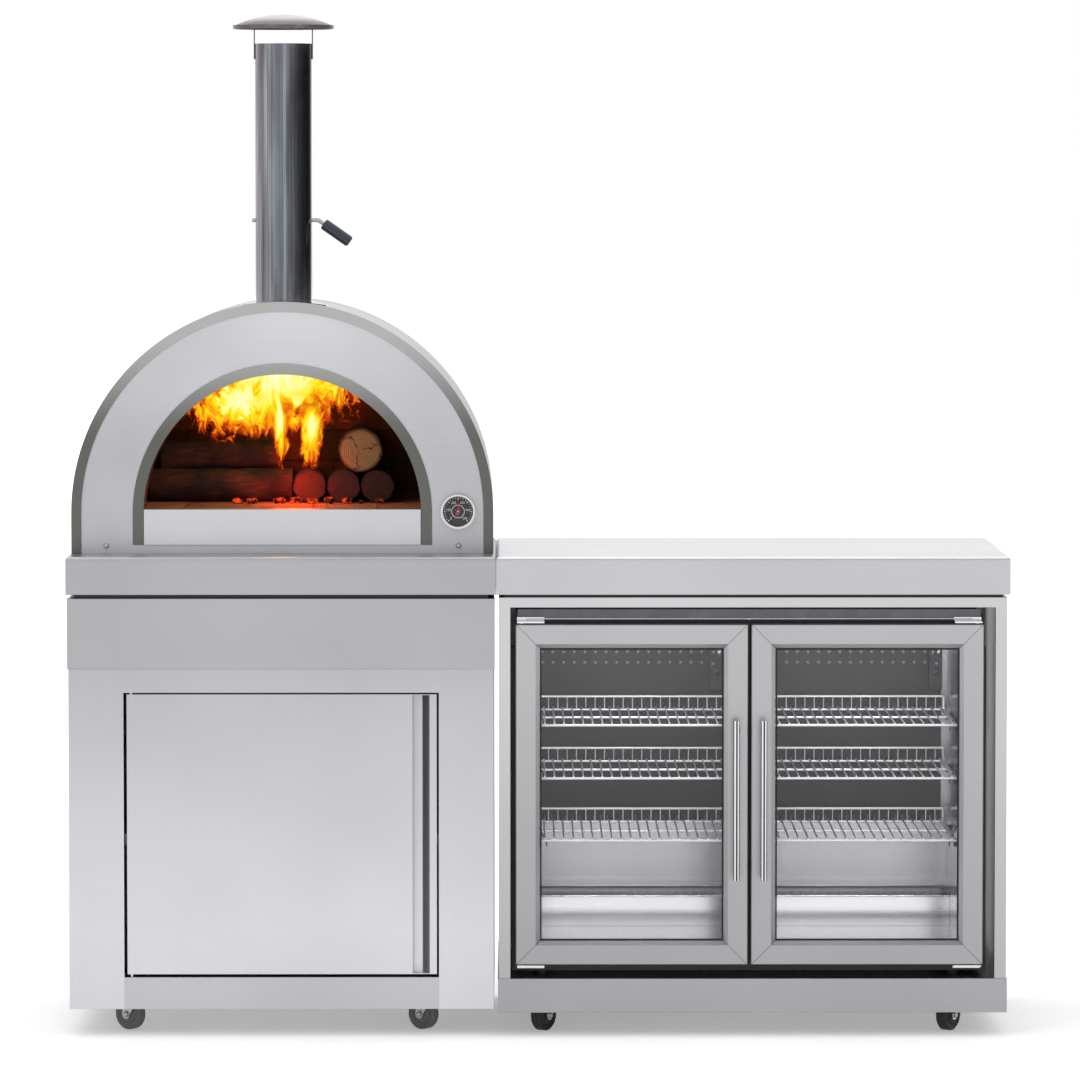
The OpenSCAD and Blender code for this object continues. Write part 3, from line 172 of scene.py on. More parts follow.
@dataclass(frozen=True)
class BrushedSteel(Finish):
    """Stainless sheet brushed along one direction: long fine lines that blur what it mirrors."""

    grain: Grain = Grain.LEVEL
    roughness: float = 0.3
    line: float = 0.0016  # real lines are near 0.2 mm, and are drawn this wide so that they show
    run: float = 0.012
    depth: float = 0.06
    mottle: float = 0.04
    fold: float = 0.0012
    # The next three paint light and shade: a tone that shifts between two heights, as painted reflection and
    # painted shade, and a tone on the faces that look up, a painted highlight over 1 and painted shade under
    # 1
    painted_light_heights: Span = (0.1, 0.85)  # heights between which the sheet's tone shifts
    shift: Span = (1.0, 1.0)  # tone at those heights
    top: float = 1.0  # tone of the faces that look up

    def mapped(self, tree: Tree, axis: int) -> Socket:
        """Stretches the pattern's space along one axis.

        Args:
            tree: The material's node tree.
            axis: The axis along which the lines run.

        Returns:
            The output with the stretched place.
        """
        scale = [1 / self.line] * 3
        scale[axis] *= self.run
        return add(tree, "Mapping", {"Vector": add(tree, "TexCoord", out="Object"), "Scale": scale})

    def turned(self, tree: Tree) -> Socket:
        """Says where the lines run the other way.

        Args:
            tree: The material's node tree.

        Returns:
            The output that is 1 on faces that look sideways, and 0 elsewhere.
        """
        side = add(tree, "SeparateXYZ", (add(tree, "TexCoord", out="Normal"),))
        size = add(tree, "Math", (side,), operation="ABSOLUTE")
        return add(tree, "Math", (size, 0.7), operation="GREATER_THAN")

    def worn(self, tree: Tree, tone: Socket) -> Socket:
        """Returns the tone with the sheet's seams drawn in; a plain sheet has none."""
        return tone

    def look(self, tree: Tree) -> dict:
        """Works out lines, clouding, seams, rounded edges, painted light and shade by height, and a painted
        tone on the faces that look up.

        Args:
            tree: The material's node tree.

        Returns:
            The shader's inputs.
        """
        other = 1 if self.grain is Grain.LEVEL else self.grain.value
        along = add(tree, "Mix", {
            0: self.turned(tree), 4: self.mapped(tree, self.grain.value), 5: self.mapped(tree, other),
        }, 1, data_type="VECTOR")
        lines = add(tree, "TexNoise", {"Vector": along, "Scale": 1.0, "Detail": 3.0, "Roughness": 0.6})
        place = add(tree, "TexCoord", out="Object")
        cloud = add(tree, "TexNoise", {"Vector": place, "Scale": 3.1, "Detail": 2.0, "Roughness": 0.45})
        up = add(tree, "SeparateXYZ", (add(tree, "TexCoord", out="Normal"),), 2)
        height = add(tree, "SeparateXYZ", (place,), 2)
        # Painted light and shade by height and on the faces that look up, then random clouding
        tones = (
            (height, *self.painted_light_heights, *self.shift),
            (up, 0.35, 0.65, 1.0, self.top),
            (cloud, 0.3, 0.7, 1 - self.mottle, 1 + self.mottle),
        )
        tone = add(tree, "MapRange", {0: lines, 3: 1 - self.mottle, 4: 1 + self.mottle})
        for inputs in tones:
            tone = add(tree, "Math", (tone, add(tree, "MapRange", inputs)), operation="MULTIPLY")
        tone = self.worn(tree, tone)
        edge = add(tree, "Bevel", {"Radius": self.fold}, samples=4)
        return {
            "Base Color": add(tree, "VectorMath", {
                0: linear(self.colour)[:3], "Scale": tone,
            }, operation="SCALE"),
            "Metallic": 1.0,
            "Roughness": add(tree, "MapRange", (
                lines, 0.0, 1.0, self.roughness - 0.05, self.roughness + 0.07,
            )),
            "Normal": add(tree, "Bump", {
                "Strength": self.depth, "Distance": 0.0002, "Height": lines, "Normal": edge,
            }),
        }


@dataclass(frozen=True)
class MitredSteel(BrushedSteel):
    """Brushed bars joined at mitres: the lines follow each bar and meet in a thin dark seam."""

    split: float = 0.404  # between the two doors
    outer: float = 0.447  # from there to the doors' outer edges
    inner: float = 0.003  # from there to their inner edges
    foot: float = 0.137  # the doors' foot
    head: float = 0.791  # and their head
    seam_w: float = 0.0009

    def nearer(self, tree: Tree, place: Socket, low: float, high: float) -> Socket:
        """Works out how deep a place lies between two edges.

        Args:
            tree: The material's node tree.
            place: The output with the place along one axis.
            low: The lower edge.
            high: The upper edge.

        Returns:
            The output with the distance from the nearer edge.
        """
        over = add(tree, "Math", (place, low), operation="SUBTRACT")
        under = add(tree, "Math", (high, place), operation="SUBTRACT")
        return add(tree, "Math", (under, over), operation="MINIMUM")

    def reach(self, tree: Tree) -> Socket:
        """Compares how deep a place lies from the door's sides and from its ends.

        Args:
            tree: The material's node tree.

        Returns:
            The output with the depth from the nearer end less the depth from the nearer side.
        """
        place = add(tree, "TexCoord", out="Object")
        from_split = add(tree, "Math", (
            add(tree, "SeparateXYZ", (place,)), self.split,
        ), operation="SUBTRACT")
        across = add(tree, "Math", (from_split,), operation="ABSOLUTE")
        side = self.nearer(tree, across, self.inner, self.outer)
        end = self.nearer(tree, add(tree, "SeparateXYZ", (place,), 2), self.foot, self.head)
        return add(tree, "Math", (end, side), operation="SUBTRACT")

    def mapped(self, tree: Tree, axis: int) -> Socket:
        """Lets the lines run upright in the side bars and level in the end bars.

        Args:
            tree: The material's node tree.
            axis: Not used, as each bar has its own.

        Returns:
            The output with the stretched place.
        """
        ends = add(tree, "Math", (self.reach(tree), 0.0), operation="LESS_THAN")
        upright = super().mapped(tree, Grain.UPRIGHT.value)
        level = super().mapped(tree, Grain.LEVEL.value)
        return add(tree, "Mix", {0: ends, 4: upright, 5: level}, 1, data_type="VECTOR")

    def worn(self, tree: Tree, tone: Socket) -> Socket:
        """Draws the thin dark seam along the mitres.

        Args:
            tree: The material's node tree.
            tone: The output with the sheet's tone.

        Returns:
            The tone with the seam in it.
        """
        off = add(tree, "Math", (self.reach(tree),), operation="ABSOLUTE")
        seam = add(tree, "Math", (off, self.seam_w), operation="LESS_THAN")
        dark = add(tree, "MapRange", {0: seam, 3: 1.0, 4: 0.45})
        return add(tree, "Math", (tone, dark), operation="MULTIPLY")


@dataclass(frozen=True)
class BandSteel(BrushedSteel):
    """Rolled band: dull grey low down, and a painted highlight round its top where it turns to the light."""

    crown_highlight: str = "#ADADAB"
    low: float = 1.13
    high: float = 1.36

    def look(self, tree: Tree) -> dict:
        """Works out the brushed sheet and paints a highlight round its top.

        Args:
            tree: The material's node tree.

        Returns:
            The shader's inputs.
        """
        inputs = super().look(tree)
        height = add(tree, "SeparateXYZ", (add(tree, "TexCoord", out="Object"),), 2)
        rise = add(tree, "MapRange", (height, self.low, self.high), interpolation_type="SMOOTHSTEP")
        # Painted highlight: the colour shifts to a bright one over the band's upper part
        inputs["Base Color"] = add(tree, "Mix", {
            0: rise, 6: inputs["Base Color"], 7: linear(self.crown_highlight),
        }, 2, data_type="RGBA")
        return inputs


@dataclass(frozen=True)
class PolishedSteel(Finish):
    """Rolled stainless polished to a mirror: sharp reflections that waver where the sheet isn't true."""

    roughness: float = 0.07
    waver: float = 0.12
    # Painted reflection: upright streaks in the mirror's tone
    streak: float = 0.0  # how much its upright streaks vary in tone

    def look(self, tree: Tree) -> dict:
        """Works out the mirror's waver, its painted streaks of reflection and its thin film of dust.

        Args:
            tree: The material's node tree.

        Returns:
            The shader's inputs.
        """
        place = add(tree, "TexCoord", out="Object")
        tall = add(tree, "Mapping", {"Vector": place, "Scale": (60.0, 60.0, 4.0)})
        wave = add(tree, "TexNoise", {"Vector": tall, "Scale": 1.0, "Detail": 2.0})
        dust = add(tree, "TexNoise", {"Vector": place, "Scale": 40.0, "Detail": 4.0})
        # Painted reflection: upright streaks in the tone
        tone = add(tree, "MapRange", (wave, 0.35, 0.65, 1 - self.streak, 1 + self.streak))
        return {
            "Base Color": add(tree, "VectorMath", {
                0: linear(self.colour)[:3], "Scale": tone,
            }, operation="SCALE"),
            "Metallic": 1.0,
            "Roughness": add(tree, "MapRange", {0: dust, 3: self.roughness * 0.6, 4: self.roughness * 1.6}),
            "Normal": add(tree, "Bump", {"Strength": self.waver, "Distance": 0.002, "Height": wave}),
        }


@dataclass(frozen=True)
class BarSteel(PolishedSteel):
    """Drawn bar: polished bright, with a painted dark reflection along its front and painted shade on its
    flanks.
    """

    # Colour of the painted dark reflection along the front and of the painted shade on the flanks
    line: str = "#2C2C30"
    low: float = -0.22
    high: float = 0.3
    shaded_flank: float = 0.86

    def look(self, tree: Tree) -> dict:
        """Works out the polish, the painted dark reflection and the painted shade.

        Args:
            tree: The material's node tree.

        Returns:
            The shader's inputs.
        """
        inputs = super().look(tree)
        side = add(tree, "SeparateXYZ", (add(tree, "TexCoord", out="Normal"),))
        after = add(tree, "Math", (side, self.low), operation="GREATER_THAN")
        before = add(tree, "Math", (side, self.high), operation="LESS_THAN")
        both = add(tree, "Math", (after, before), operation="MULTIPLY")
        size = add(tree, "Math", (side,), operation="ABSOLUTE")
        shaded_flank = add(tree, "Math", (size, self.shaded_flank), operation="GREATER_THAN")
        dull = add(tree, "Math", (both, shaded_flank), operation="MAXIMUM")
        # Painted dark reflection and painted shade
        inputs["Base Color"] = add(tree, "Mix", {
            0: dull, 6: inputs["Base Color"], 7: linear(self.line),
        }, 2, data_type="RGBA")
        return inputs


@dataclass(frozen=True)
class PlatedMetal(Finish):
    """Chromed or zinc-plated steel: even and smooth, with a faint cloud in its shine."""

    roughness: float = 0.2

    def look(self, tree: Tree) -> dict:
        """Works out the clouded shine.

        Args:
            tree: The material's node tree.

        Returns:
            The shader's inputs.
        """
        place = add(tree, "TexCoord", out="Object")
        spots = add(tree, "TexNoise", {"Vector": place, "Scale": 60.0, "Detail": 3.0})
        tone = add(tree, "MapRange", {0: spots, 3: 0.9, 4: 1.08})
        return {
            "Base Color": add(tree, "VectorMath", {
                0: linear(self.colour)[:3], "Scale": tone,
            }, operation="SCALE"),
            "Metallic": 1.0,
            "Roughness": add(tree, "MapRange", {0: spots, 3: self.roughness * 0.7, 4: self.roughness * 1.4}),
        }


@dataclass(frozen=True)
class Coating(Finish):
    """Powder coat, moulded plastic or rubber: a coloured skin with a fine pebbled surface."""

    roughness: float = 0.5
    grit: float = 0.0008
    depth: float = 0.15
    fade: float = 0.06

    def look(self, tree: Tree) -> dict:
        """Works out the pebbled skin.

        Args:
            tree: The material's node tree.

        Returns:
            The shader's inputs.
        """
        place = add(tree, "TexCoord", out="Object")
        grain = add(tree, "TexNoise", {"Vector": place, "Scale": 1 / self.grit, "Detail": 2.0})
        cloud = add(tree, "TexNoise", {"Vector": place, "Scale": 14.0, "Detail": 3.0})
        tone = add(tree, "MapRange", {0: cloud, 3: 1 - self.fade, 4: 1 + self.fade})
        rough = add(tree, "MapRange", {0: cloud, 3: self.roughness - 0.06, 4: self.roughness + 0.06})
        return {
            "Base Color": add(tree, "VectorMath", {
                0: linear(self.colour)[:3], "Scale": tone,
            }, operation="SCALE"),
            "Roughness": rough,
            "Normal": add(tree, "Bump", {"Strength": self.depth, "Distance": 0.0004, "Height": grain}),
        }


@dataclass(frozen=True)
class PunchedCoating(Coating):
    """Moulded cover with rows of small dimples near its top, whose rims have a painted highlight."""

    pitch: float = 0.021
    hole: float = 0.0029
    above: float = 0.68
    # Colour of the painted highlight on the dimples' rims
    rim: str = "#7C7C80"

    def look(self, tree: Tree) -> dict:
        """Works out the pebbled skin and the painted highlight of its dimples.

        Args:
            tree: The material's node tree.

        Returns:
            The shader's inputs.
        """
        inputs = super().look(tree)
        place = add(tree, "TexCoord", out="Object")
        flat = add(tree, "VectorMath", (place, (1 / self.pitch, 0.0, 1 / self.pitch)), operation="MULTIPLY")
        cell = add(tree, "VectorMath", (flat,), operation="FRACTION")
        off = add(tree, "VectorMath", (cell, (0.5, 0.0, 0.5)), operation="SUBTRACT")
        far = add(tree, "VectorMath", (off,), 1, operation="LENGTH")
        inside = add(tree, "Math", (far, self.hole / self.pitch), operation="LESS_THAN")
        height = add(tree, "SeparateXYZ", (place,), 2)
        high = add(tree, "Math", (height, self.above), operation="GREATER_THAN")
        dimple_highlight = add(tree, "Math", (inside, high), operation="MULTIPLY")
        inputs["Base Color"] = add(tree, "Mix", {
            0: dimple_highlight, 6: inputs["Base Color"], 7: linear(self.rim),
        }, 2, data_type="RGBA")
        return inputs


@dataclass(frozen=True)
class FireClay(Finish):
    """Fired clay brick, sooted by the fire: laid in courses or as large tiles, with pale joints."""

    joint: str = "#2A1712"
    soot: str = "#140A07"
    width: float = 0.115
    height: float = 0.06
    sooted: float = 0.65

    def look(self, tree: Tree) -> dict:
        """Works out courses, grain and soot.

        Args:
            tree: The material's node tree.

        Returns:
            The shader's inputs.
        """
        place = add(tree, "TexCoord", out="Object")
        turned = add(tree, "Mapping", {"Vector": place, "Rotation": (math.pi / 2, 0.0, 0.0)})
        bricks = add(tree, "TexBrick", {
            "Vector": turned, "Color1": linear(self.colour), "Color2": linear(self.soot),
            "Mortar": linear(self.joint), "Mortar Size": 0.002, "Mortar Smooth": 0.3, "Bias": -0.4,
            "Scale": 1.0, "Brick Width": self.width, "Row Height": self.height,
        })
        stain = add(tree, "TexNoise", {"Vector": place, "Scale": 11.0, "Detail": 5.0, "Roughness": 0.65})
        dark = add(tree, "MapRange", (stain, 0.35, 0.7, 0.0, self.sooted))
        grain = add(tree, "TexNoise", {"Vector": place, "Scale": 260.0, "Detail": 4.0})
        bump = add(tree, "Bump", {"Strength": 0.5, "Distance": 0.001, "Height": grain})
        return {
            "Base Color": add(tree, "Mix", {0: dark, 6: bricks, 7: linear(self.soot)}, 2, data_type="RGBA"),
            "Roughness": 0.9,
            "Normal": add(tree, "Bump", {
                "Strength": 0.6, "Distance": 0.002, "Height": bricks.node.outputs["Fac"], "Normal": bump,
            }, invert=True),
        }


@dataclass(frozen=True)
class Bark(Finish):
    """Split firewood's bark: dark ridges along the log, charred towards the fire."""

    char: str = "#0E0806"
    axis: int = 1

    def look(self, tree: Tree) -> dict:
        """Works out ridges and charring.

        Args:
            tree: The material's node tree.

        Returns:
            The shader's inputs.
        """
        place = add(tree, "TexCoord", out="Object")
        scale = [150.0, 150.0, 150.0]
        scale[self.axis] = 22.0
        along = add(tree, "Mapping", {"Vector": place, "Scale": scale})
        ridges = add(tree, "TexNoise", {"Vector": along, "Scale": 1.0, "Detail": 4.0, "Roughness": 0.7})
        stain = add(tree, "TexNoise", {"Vector": place, "Scale": 16.0, "Detail": 3.0})
        burnt = add(tree, "MapRange", (stain, 0.35, 0.6))
        wood = add(tree, "ValToRGB", (ridges,), stops=((0.3, self.char), (0.75, self.colour)))
        return {
            "Base Color": add(tree, "Mix", {0: burnt, 6: wood, 7: linear(self.char)}, 2, data_type="RGBA"),
            "Roughness": 0.88,
            "Normal": add(tree, "Bump", {"Strength": 0.8, "Distance": 0.003, "Height": ridges}),
        }


@dataclass(frozen=True)
class EndGrain(Finish):
    """Sawn end of a log: growth rings round the heart, darker at the bark, with dry cracks."""

    ring: str = "#8A5A28"
    rim: str = "#2A160A"
    cracks: float = 3.0

    def look(self, tree: Tree) -> dict:
        """Works out the rings on the round caps of the piece's own map.

        Args:
            tree: The material's node tree.

        Returns:
            The shader's inputs.
        """
        place = add(tree, "TexCoord", out="UV")
        half = add(tree, "VectorMath", (place, (2.0, 2.0, 0.0)), operation="MULTIPLY")
        cell = add(tree, "VectorMath", (half,), operation="FRACTION")
        middle = add(tree, "VectorMath", (cell, (0.5, 0.5, 0.0)), operation="SUBTRACT")
        radius = add(tree, "VectorMath", (middle,), 1, operation="LENGTH")
        wobble = add(tree, "TexNoise", {"Vector": place, "Scale": 9.0, "Detail": 2.0})
        bent = add(tree, "Math", (wobble, 0.07, radius), operation="MULTIPLY_ADD")
        rings = add(tree, "Math", (bent, 150.0), operation="MULTIPLY")
        wave = add(tree, "Math", (rings,), operation="SINE")
        tone = add(tree, "MapRange", (wave, -1.0, 1.0))
        wood = add(tree, "Mix", {0: tone, 6: linear(self.colour), 7: linear(self.ring)}, 2, data_type="RGBA")
        edge = add(tree, "MapRange", (bent, 0.43, 0.5))
        turn = add(tree, "TexGradient", (middle,), 1, gradient_type="RADIAL")
        swayed = add(tree, "Math", (wobble, 0.25, turn), operation="MULTIPLY_ADD")
        parted = add(tree, "Math", (swayed, self.cracks), operation="MULTIPLY")
        near = add(tree, "Math", (parted, 0.5), operation="PINGPONG")
        crack = add(tree, "MapRange", (near, 0.0, 0.06, 1.0, 0.0))
        dark = add(tree, "Math", (edge, crack), operation="MAXIMUM")
        return {
            "Base Color": add(tree, "Mix", {0: dark, 6: wood, 7: linear(self.rim)}, 2, data_type="RGBA"),
            "Roughness": 0.8,
            "Normal": add(tree, "Bump", {"Strength": 0.4, "Distance": 0.001, "Height": wave}),
        }


@dataclass(frozen=True)
class Flames(Finish):
    """Burning gas over the wood: yellow tongues that turn orange and dark red, and thin out at their tips."""

    # Middle across and up, half width and half height of each tongue: the roof's, the left one and two legs
    tongues: tuple[tuple[float, float, float, float], ...] = (
        (-0.513, 1.262, 0.176, 0.11), (-0.578, 1.205, 0.095, 0.07), (-0.5, 1.168, 0.015, 0.085),
        (-0.44, 1.16, 0.021, 0.085),
    )
    ragged: float = 0.95
    strength: float = 1.2

    def look(self, tree: Tree) -> dict:
        """Works out tongues, colours and the thinning towards their outline.

        Args:
            tree: The material's node tree.

        Returns:
            The shader's inputs.
        """
        place = add(tree, "TexCoord", out="Object")
        heat = None
        for x, z, wide, high in self.tongues:
            off = add(tree, "VectorMath", (place, (x, 0.0, z)), operation="SUBTRACT")
            flat = add(tree, "VectorMath", (off, (1 / wide, 0.0, 1 / high)), operation="MULTIPLY")
            far = add(tree, "VectorMath", (flat,), 1, operation="LENGTH")
            within = add(tree, "Math", (1.0, far), operation="SUBTRACT")
            if heat is None:
                heat = within
            else:
                heat = add(tree, "Math", (heat, within, 0.2), operation="SMOOTH_MAX")
        tall = add(tree, "Mapping", {
            "Vector": place, "Scale": (24.0, 24.0, 9.0), "Rotation": (0.0, 0.5, 0.0),
        })
        licks = add(tree, "TexNoise", {
            "Vector": tall, "Scale": 1.0, "Detail": 5.0, "Roughness": 0.58, "Distortion": 1.8,
        })
        torn = add(tree, "MapRange", (
            licks, 0.25, 0.75, -self.ragged / 2, self.ragged / 2,
        ), clamp=False)
        left = add(tree, "Math", (heat, torn), operation="ADD")
        return {
            "Base Color": linear("#1A0502"), "Roughness": 1.0, "Specular IOR Level": 0.0,
            "Emission Color": add(tree, "ValToRGB", (left,), stops=(
                (0.0, "#4A0C06"), (0.14, "#C83C08"), (0.3, "#F09610"), (0.5, "#F6DA18"), (0.95, "#FFFAB4"),
            )),
            "Emission Strength": self.strength,
            "Alpha": add(tree, "MapRange", (left, -0.05, 0.22)),
        }


@dataclass(frozen=True)
class Embers(Finish):
    """Burning coal: a dark crust with red light in its cracks."""

    glow: str = "#E03A08"

    def look(self, tree: Tree) -> dict:
        """Works out the crust and its cracks.

        Args:
            tree: The material's node tree.

        Returns:
            The shader's inputs.
        """
        place = add(tree, "TexCoord", out="Object")
        cracks = add(tree, "TexNoise", {"Vector": place, "Scale": 70.0, "Detail": 4.0, "Roughness": 0.6})
        return {
            "Base Color": linear(self.colour), "Roughness": 0.95, "Emission Color": linear(self.glow),
            "Emission Strength": add(tree, "MapRange", (cracks, 0.48, 0.62, 0.0, 1.6)),
            "Normal": add(tree, "Bump", {"Strength": 0.8, "Distance": 0.002, "Height": cracks}),
        }


@dataclass(frozen=True)
class ClearGlass(Finish):
    """Float glass: clear and smooth, with a faint body colour."""

    ior: float = 1.5

    def look(self, tree: Tree) -> dict:
        """Works out the clear body, and lets light through to what stands behind it.

        Args:
            tree: The material's node tree.

        Returns:
            The shader's inputs.
        """
        rays = add(tree, "LightPath").node.outputs
        through = add(tree, "Math", (rays["Is Shadow Ray"], rays["Is Diffuse Ray"]), operation="MAXIMUM")
        clear = add(tree, "BsdfTransparent", (linear("#F1F1F2"),))
        body = tree.nodes["Principled BSDF"].outputs[0]
        mixed = add(tree, "MixShader", (through, body, clear))
        feed(tree, tree.nodes["Material Output"], {"Surface": mixed})
        place = add(tree, "TexCoord", out="Object")
        smears = add(tree, "TexNoise", {"Vector": place, "Scale": 5.0, "Detail": 4.0, "Roughness": 0.7})
        haze = add(tree, "MapRange", (smears, 0.4, 0.8, 1.0, 0.96))
        return {
            "Base Color": add(tree, "VectorMath", {
                0: linear(self.colour)[:3], "Scale": haze,
            }, operation="SCALE"),
            "Roughness": 0.0, "Transmission Weight": 1.0, "IOR": self.ior,
        }


def seen(tree: Tree) -> Socket:
    """Tells a look from the camera, a mirror or through glass from the light on the object.

    Args:
        tree: The node tree.

    Returns:
        The output that is 1 for such a look and 0 for light.
    """
    rays = add(tree, "LightPath").node.outputs
    first = add(tree, "Math", (rays["Is Camera Ray"], rays["Is Glossy Ray"]), operation="MAXIMUM")
    return add(tree, "Math", (first, rays["Is Transmission Ray"]), operation="MAXIMUM")


@dataclass(frozen=True)
class Paper(Finish):
    """The studio's floor: matt paper that grows brighter with its distance until it joins the background."""

    near: float = 1.6
    far: float = 7.0
    lift: Span = (0.3, 0.75)

    def look(self, tree: Tree) -> dict:
        """Works out the paper and its own light.

        Args:
            tree: The material's node tree.

        Returns:
            The shader's inputs.
        """
        away = add(tree, "VectorMath", (add(tree, "TexCoord", out="Object"),), 1, operation="LENGTH")
        lift = add(tree, "MapRange", (
            away, self.near, self.far, self.lift[0], self.lift[1],
        ), interpolation_type="SMOOTHSTEP")
        return {
            "Base Color": linear(self.colour), "Roughness": 0.9, "Specular IOR Level": 0.1,
            "Emission Color": WHITE,
            "Emission Strength": add(tree, "Math", (seen(tree), lift), operation="MULTIPLY"),
        }


@dataclass(frozen=True)
class Card(Finish):
    """The studio's card: black, with its own light in upright streaks, for the mirrors alone."""

    turns: Span = (-150.0, 143.0)  # its two ends, in degrees from straight ahead, counted to the right
    streaks: float = 0.5
    tones: tuple[tuple[float, str], ...] = (
        (0.0, "#FBF8F4"), (0.19, "#C8C0C8"), (0.3, "#FFFFFF"), (0.365, "#D5DADC"), (0.46, "#A4A9B2"),
        (0.53, "#D2D6DE"), (0.6, "#9A9CA0"), (0.69, "#6C6C6E"), (0.8, "#3A3A3E"), (0.91, "#1E1D22"),
        (1.0, "#686660"),
    )

    def look(self, tree: Tree) -> dict:
        """Works out the tones along the card and its streaks.

        Args:
            tree: The material's node tree.

        Returns:
            The shader's inputs.
        """
        parts = add(tree, "SeparateXYZ", (add(tree, "TexCoord", out="Object"),)).node.outputs
        ahead = add(tree, "Math", (parts[1], -1.0), operation="MULTIPLY")
        turn = add(tree, "Math", (parts[0], ahead), operation="ARCTAN2")
        start, end = (math.radians(one) for one in self.turns)
        along = add(tree, "MapRange", (turn, start, end))
        noise = add(tree, "TexNoise", {"W": turn, "Scale": 10.0, "Detail": 4.0}, noise_dimensions="1D")
        streak = {0: noise, 1: 0.3, 2: 0.7, 3: 1 - self.streaks, 4: 1 + self.streaks}
        return {
            "Base Color": linear(self.colour), "Specular IOR Level": 0.0,
            "Emission Color": add(tree, "ValToRGB", (along,), stops=self.tones),
            "Emission Strength": add(tree, "MapRange", streak),
        }


# Fridge bench's top: the brightest sheet, brushed from side to side, with a painted highlight where it looks
# up
BENCH_STEEL = BrushedSteel("Stainless_bench_brushed", "#B8B8BA", fold=0.003, top=1.5)
# Oven bench's top: the same brushing, a little duller, also with a painted highlight where it looks up
OVEN_BENCH_STEEL = BrushedSteel("Stainless_oven_bench_brushed", "#A4A3A7", fold=0.003, top=1.3)
# Cabinet panels and door: brushed upright, with a painted reflection of the ground: darker higher up, lighter
# towards the ground
PANEL_STEEL = BrushedSteel(
    "Stainless_panel_brushed", "#CFCFD3", Grain.UPRIGHT, 0.38, painted_light_heights=(0.2, 0.7), shift=(1.0, 0.7))
# Apron, shelf and base: the same sheet, brushed from side to side, with painted shade that darkens it higher
# up
LEVEL_STEEL = BrushedSteel(
    "Stainless_rail_brushed", "#BCBBBE", Grain.LEVEL, 0.38, painted_light_heights=(0.12, 0.7), shift=(1.0, 0.79))
# The oven's face and shell, satin rather than brushed, with a painted highlight that lightens them towards
# the top
OVEN_STEEL = BrushedSteel(
    "Stainless_oven_satin", "#C2C2C5", Grain.LEVEL, 0.42, mottle=0.09, painted_light_heights=(1.1, 1.36), shift=(0.8, 1.0))
# Panel under the mouth
SILL_STEEL = BrushedSteel("Stainless_sill_brushed", "#C0C0C2", Grain.LEVEL, 0.4)
# Bands round the face and the mouth, with a painted highlight round their top
TRIM_STEEL = BandSteel("Stainless_trim_dull", "#61615D", Grain.LEVEL, 0.34)
# Fridge bench's base, a little darker, and its upright stiles, with painted shade low down and painted
# lighter higher up
FRAME_STEEL = BrushedSteel("Stainless_frame_brushed", "#A0A0A3", Grain.LEVEL, 0.32)
STILE_STEEL = BrushedSteel("Stainless_stile_brushed", "#BEBEC0", Grain.UPRIGHT, 0.32, shift=(0.8, 1.05))
# Fridge door frames: fine brushing with mitred corners, with painted shade low down, a painted highlight
# higher up and painted shade on the faces that look up
DOOR_STEEL = MitredSteel(
    "Stainless_door_mitred", "#A8A8AA", Grain.UPRIGHT, line=0.0012, shift=(0.86, 1.08), top=0.5)
# Flue: a mirror polish, which shows its surroundings, with painted upright streaks of reflection
FLUE_STEEL = PolishedSteel("Stainless_flue_polished", "#9A9C9E", waver=0.06, streak=0.3)
# Rain cap: painted shade darkens its rim, and a painted highlight brightens its dome
CAP_STEEL = BandSteel(
    "Stainless_cap_painted_light", "#6E6868", Grain.LEVEL, 0.25, crown_highlight="#D6D6DA", low=1.936, high=1.95)
# Handle bars: a near mirror with a painted dark reflection along the front
HANDLE_STEEL = BarSteel("Stainless_handle_drawn", "#D0D0D2", 0.12, 0.02)
# Facing of the fridge's compartments: sheet brushed upright, with a painted highlight on its floor; its lines
# are near
# 0.2 mm, and are drawn 6 mm wide in tone alone, because finer ones don't show behind the glass
LINER_STEEL = BrushedSteel(
    "Stainless_liner_brushed", "#B0B0B4", Grain.UPRIGHT, 0.22, line=0.006, depth=0.0, top=1.5)
# Facing of the step at the back of the floor, which catches the room's light
STEP_STEEL = BrushedSteel(
    "Stainless_step_brushed", "#F4F4F6", Grain.LEVEL, 0.16, line=0.006, depth=0.0, mottle=0.03)
# Strip over the doors, its polish painted dark as shade
BROW_STEEL = PolishedSteel("Stainless_brow_painted_shade", "#606066", 0.3)
# Wire shelves: bright chrome, drawn softer so that thin wires catch the light
WIRE_CHROME = PlatedMetal("Chromed_wire", "#F0F0F2", 0.36)
# Hinge brackets, the fridge's caster forks and the edge over its doors: bright chrome
CHROME = PlatedMetal("Chromed_bracket", "#D2D2D4", 0.16)
# Caster plates, the oven's caster forks, nuts, screws and the damper: dull zinc
ZINC = PlatedMetal("Zinc_plated_steel", "#A8A8A4", 0.3)
# The thermometer's bezel: spun stainless
BEZEL = PlatedMetal("Bezel_stainless", "#C8C8C6", 0.25)
# Bearers, the fridge's case and its side strips: matt black paint
BLACK_COAT = Coating("Black_powder_coat", "#121213", 0.45)
# Fan covers: dark grey moulding with painted highlights on its dimples; its pebble is near 0.5 mm, and is
# drawn as soft 8 mm clouds
GREY_PLASTIC = PunchedCoating("Grey_moulded_plastic", "#28282B", grit=0.008, depth=0.02)
# Clips, springs, screw caps and knobs: black moulding with a faint sheen; the same black paints the shade in
# the fans' openings
BLACK_PLASTIC = Coating("Black_moulded_plastic", "#17171A", 0.4)
# Fins of the air grille: the cover's plastic, rubbed lighter
FIN_PLASTIC = Coating("Grey_grille_plastic", "#7A7A7D", 0.45)
# Glossy window of the controllers
DISPLAY = Coating("Controller_window", "#0C0E12", 0.12, depth=0.01)
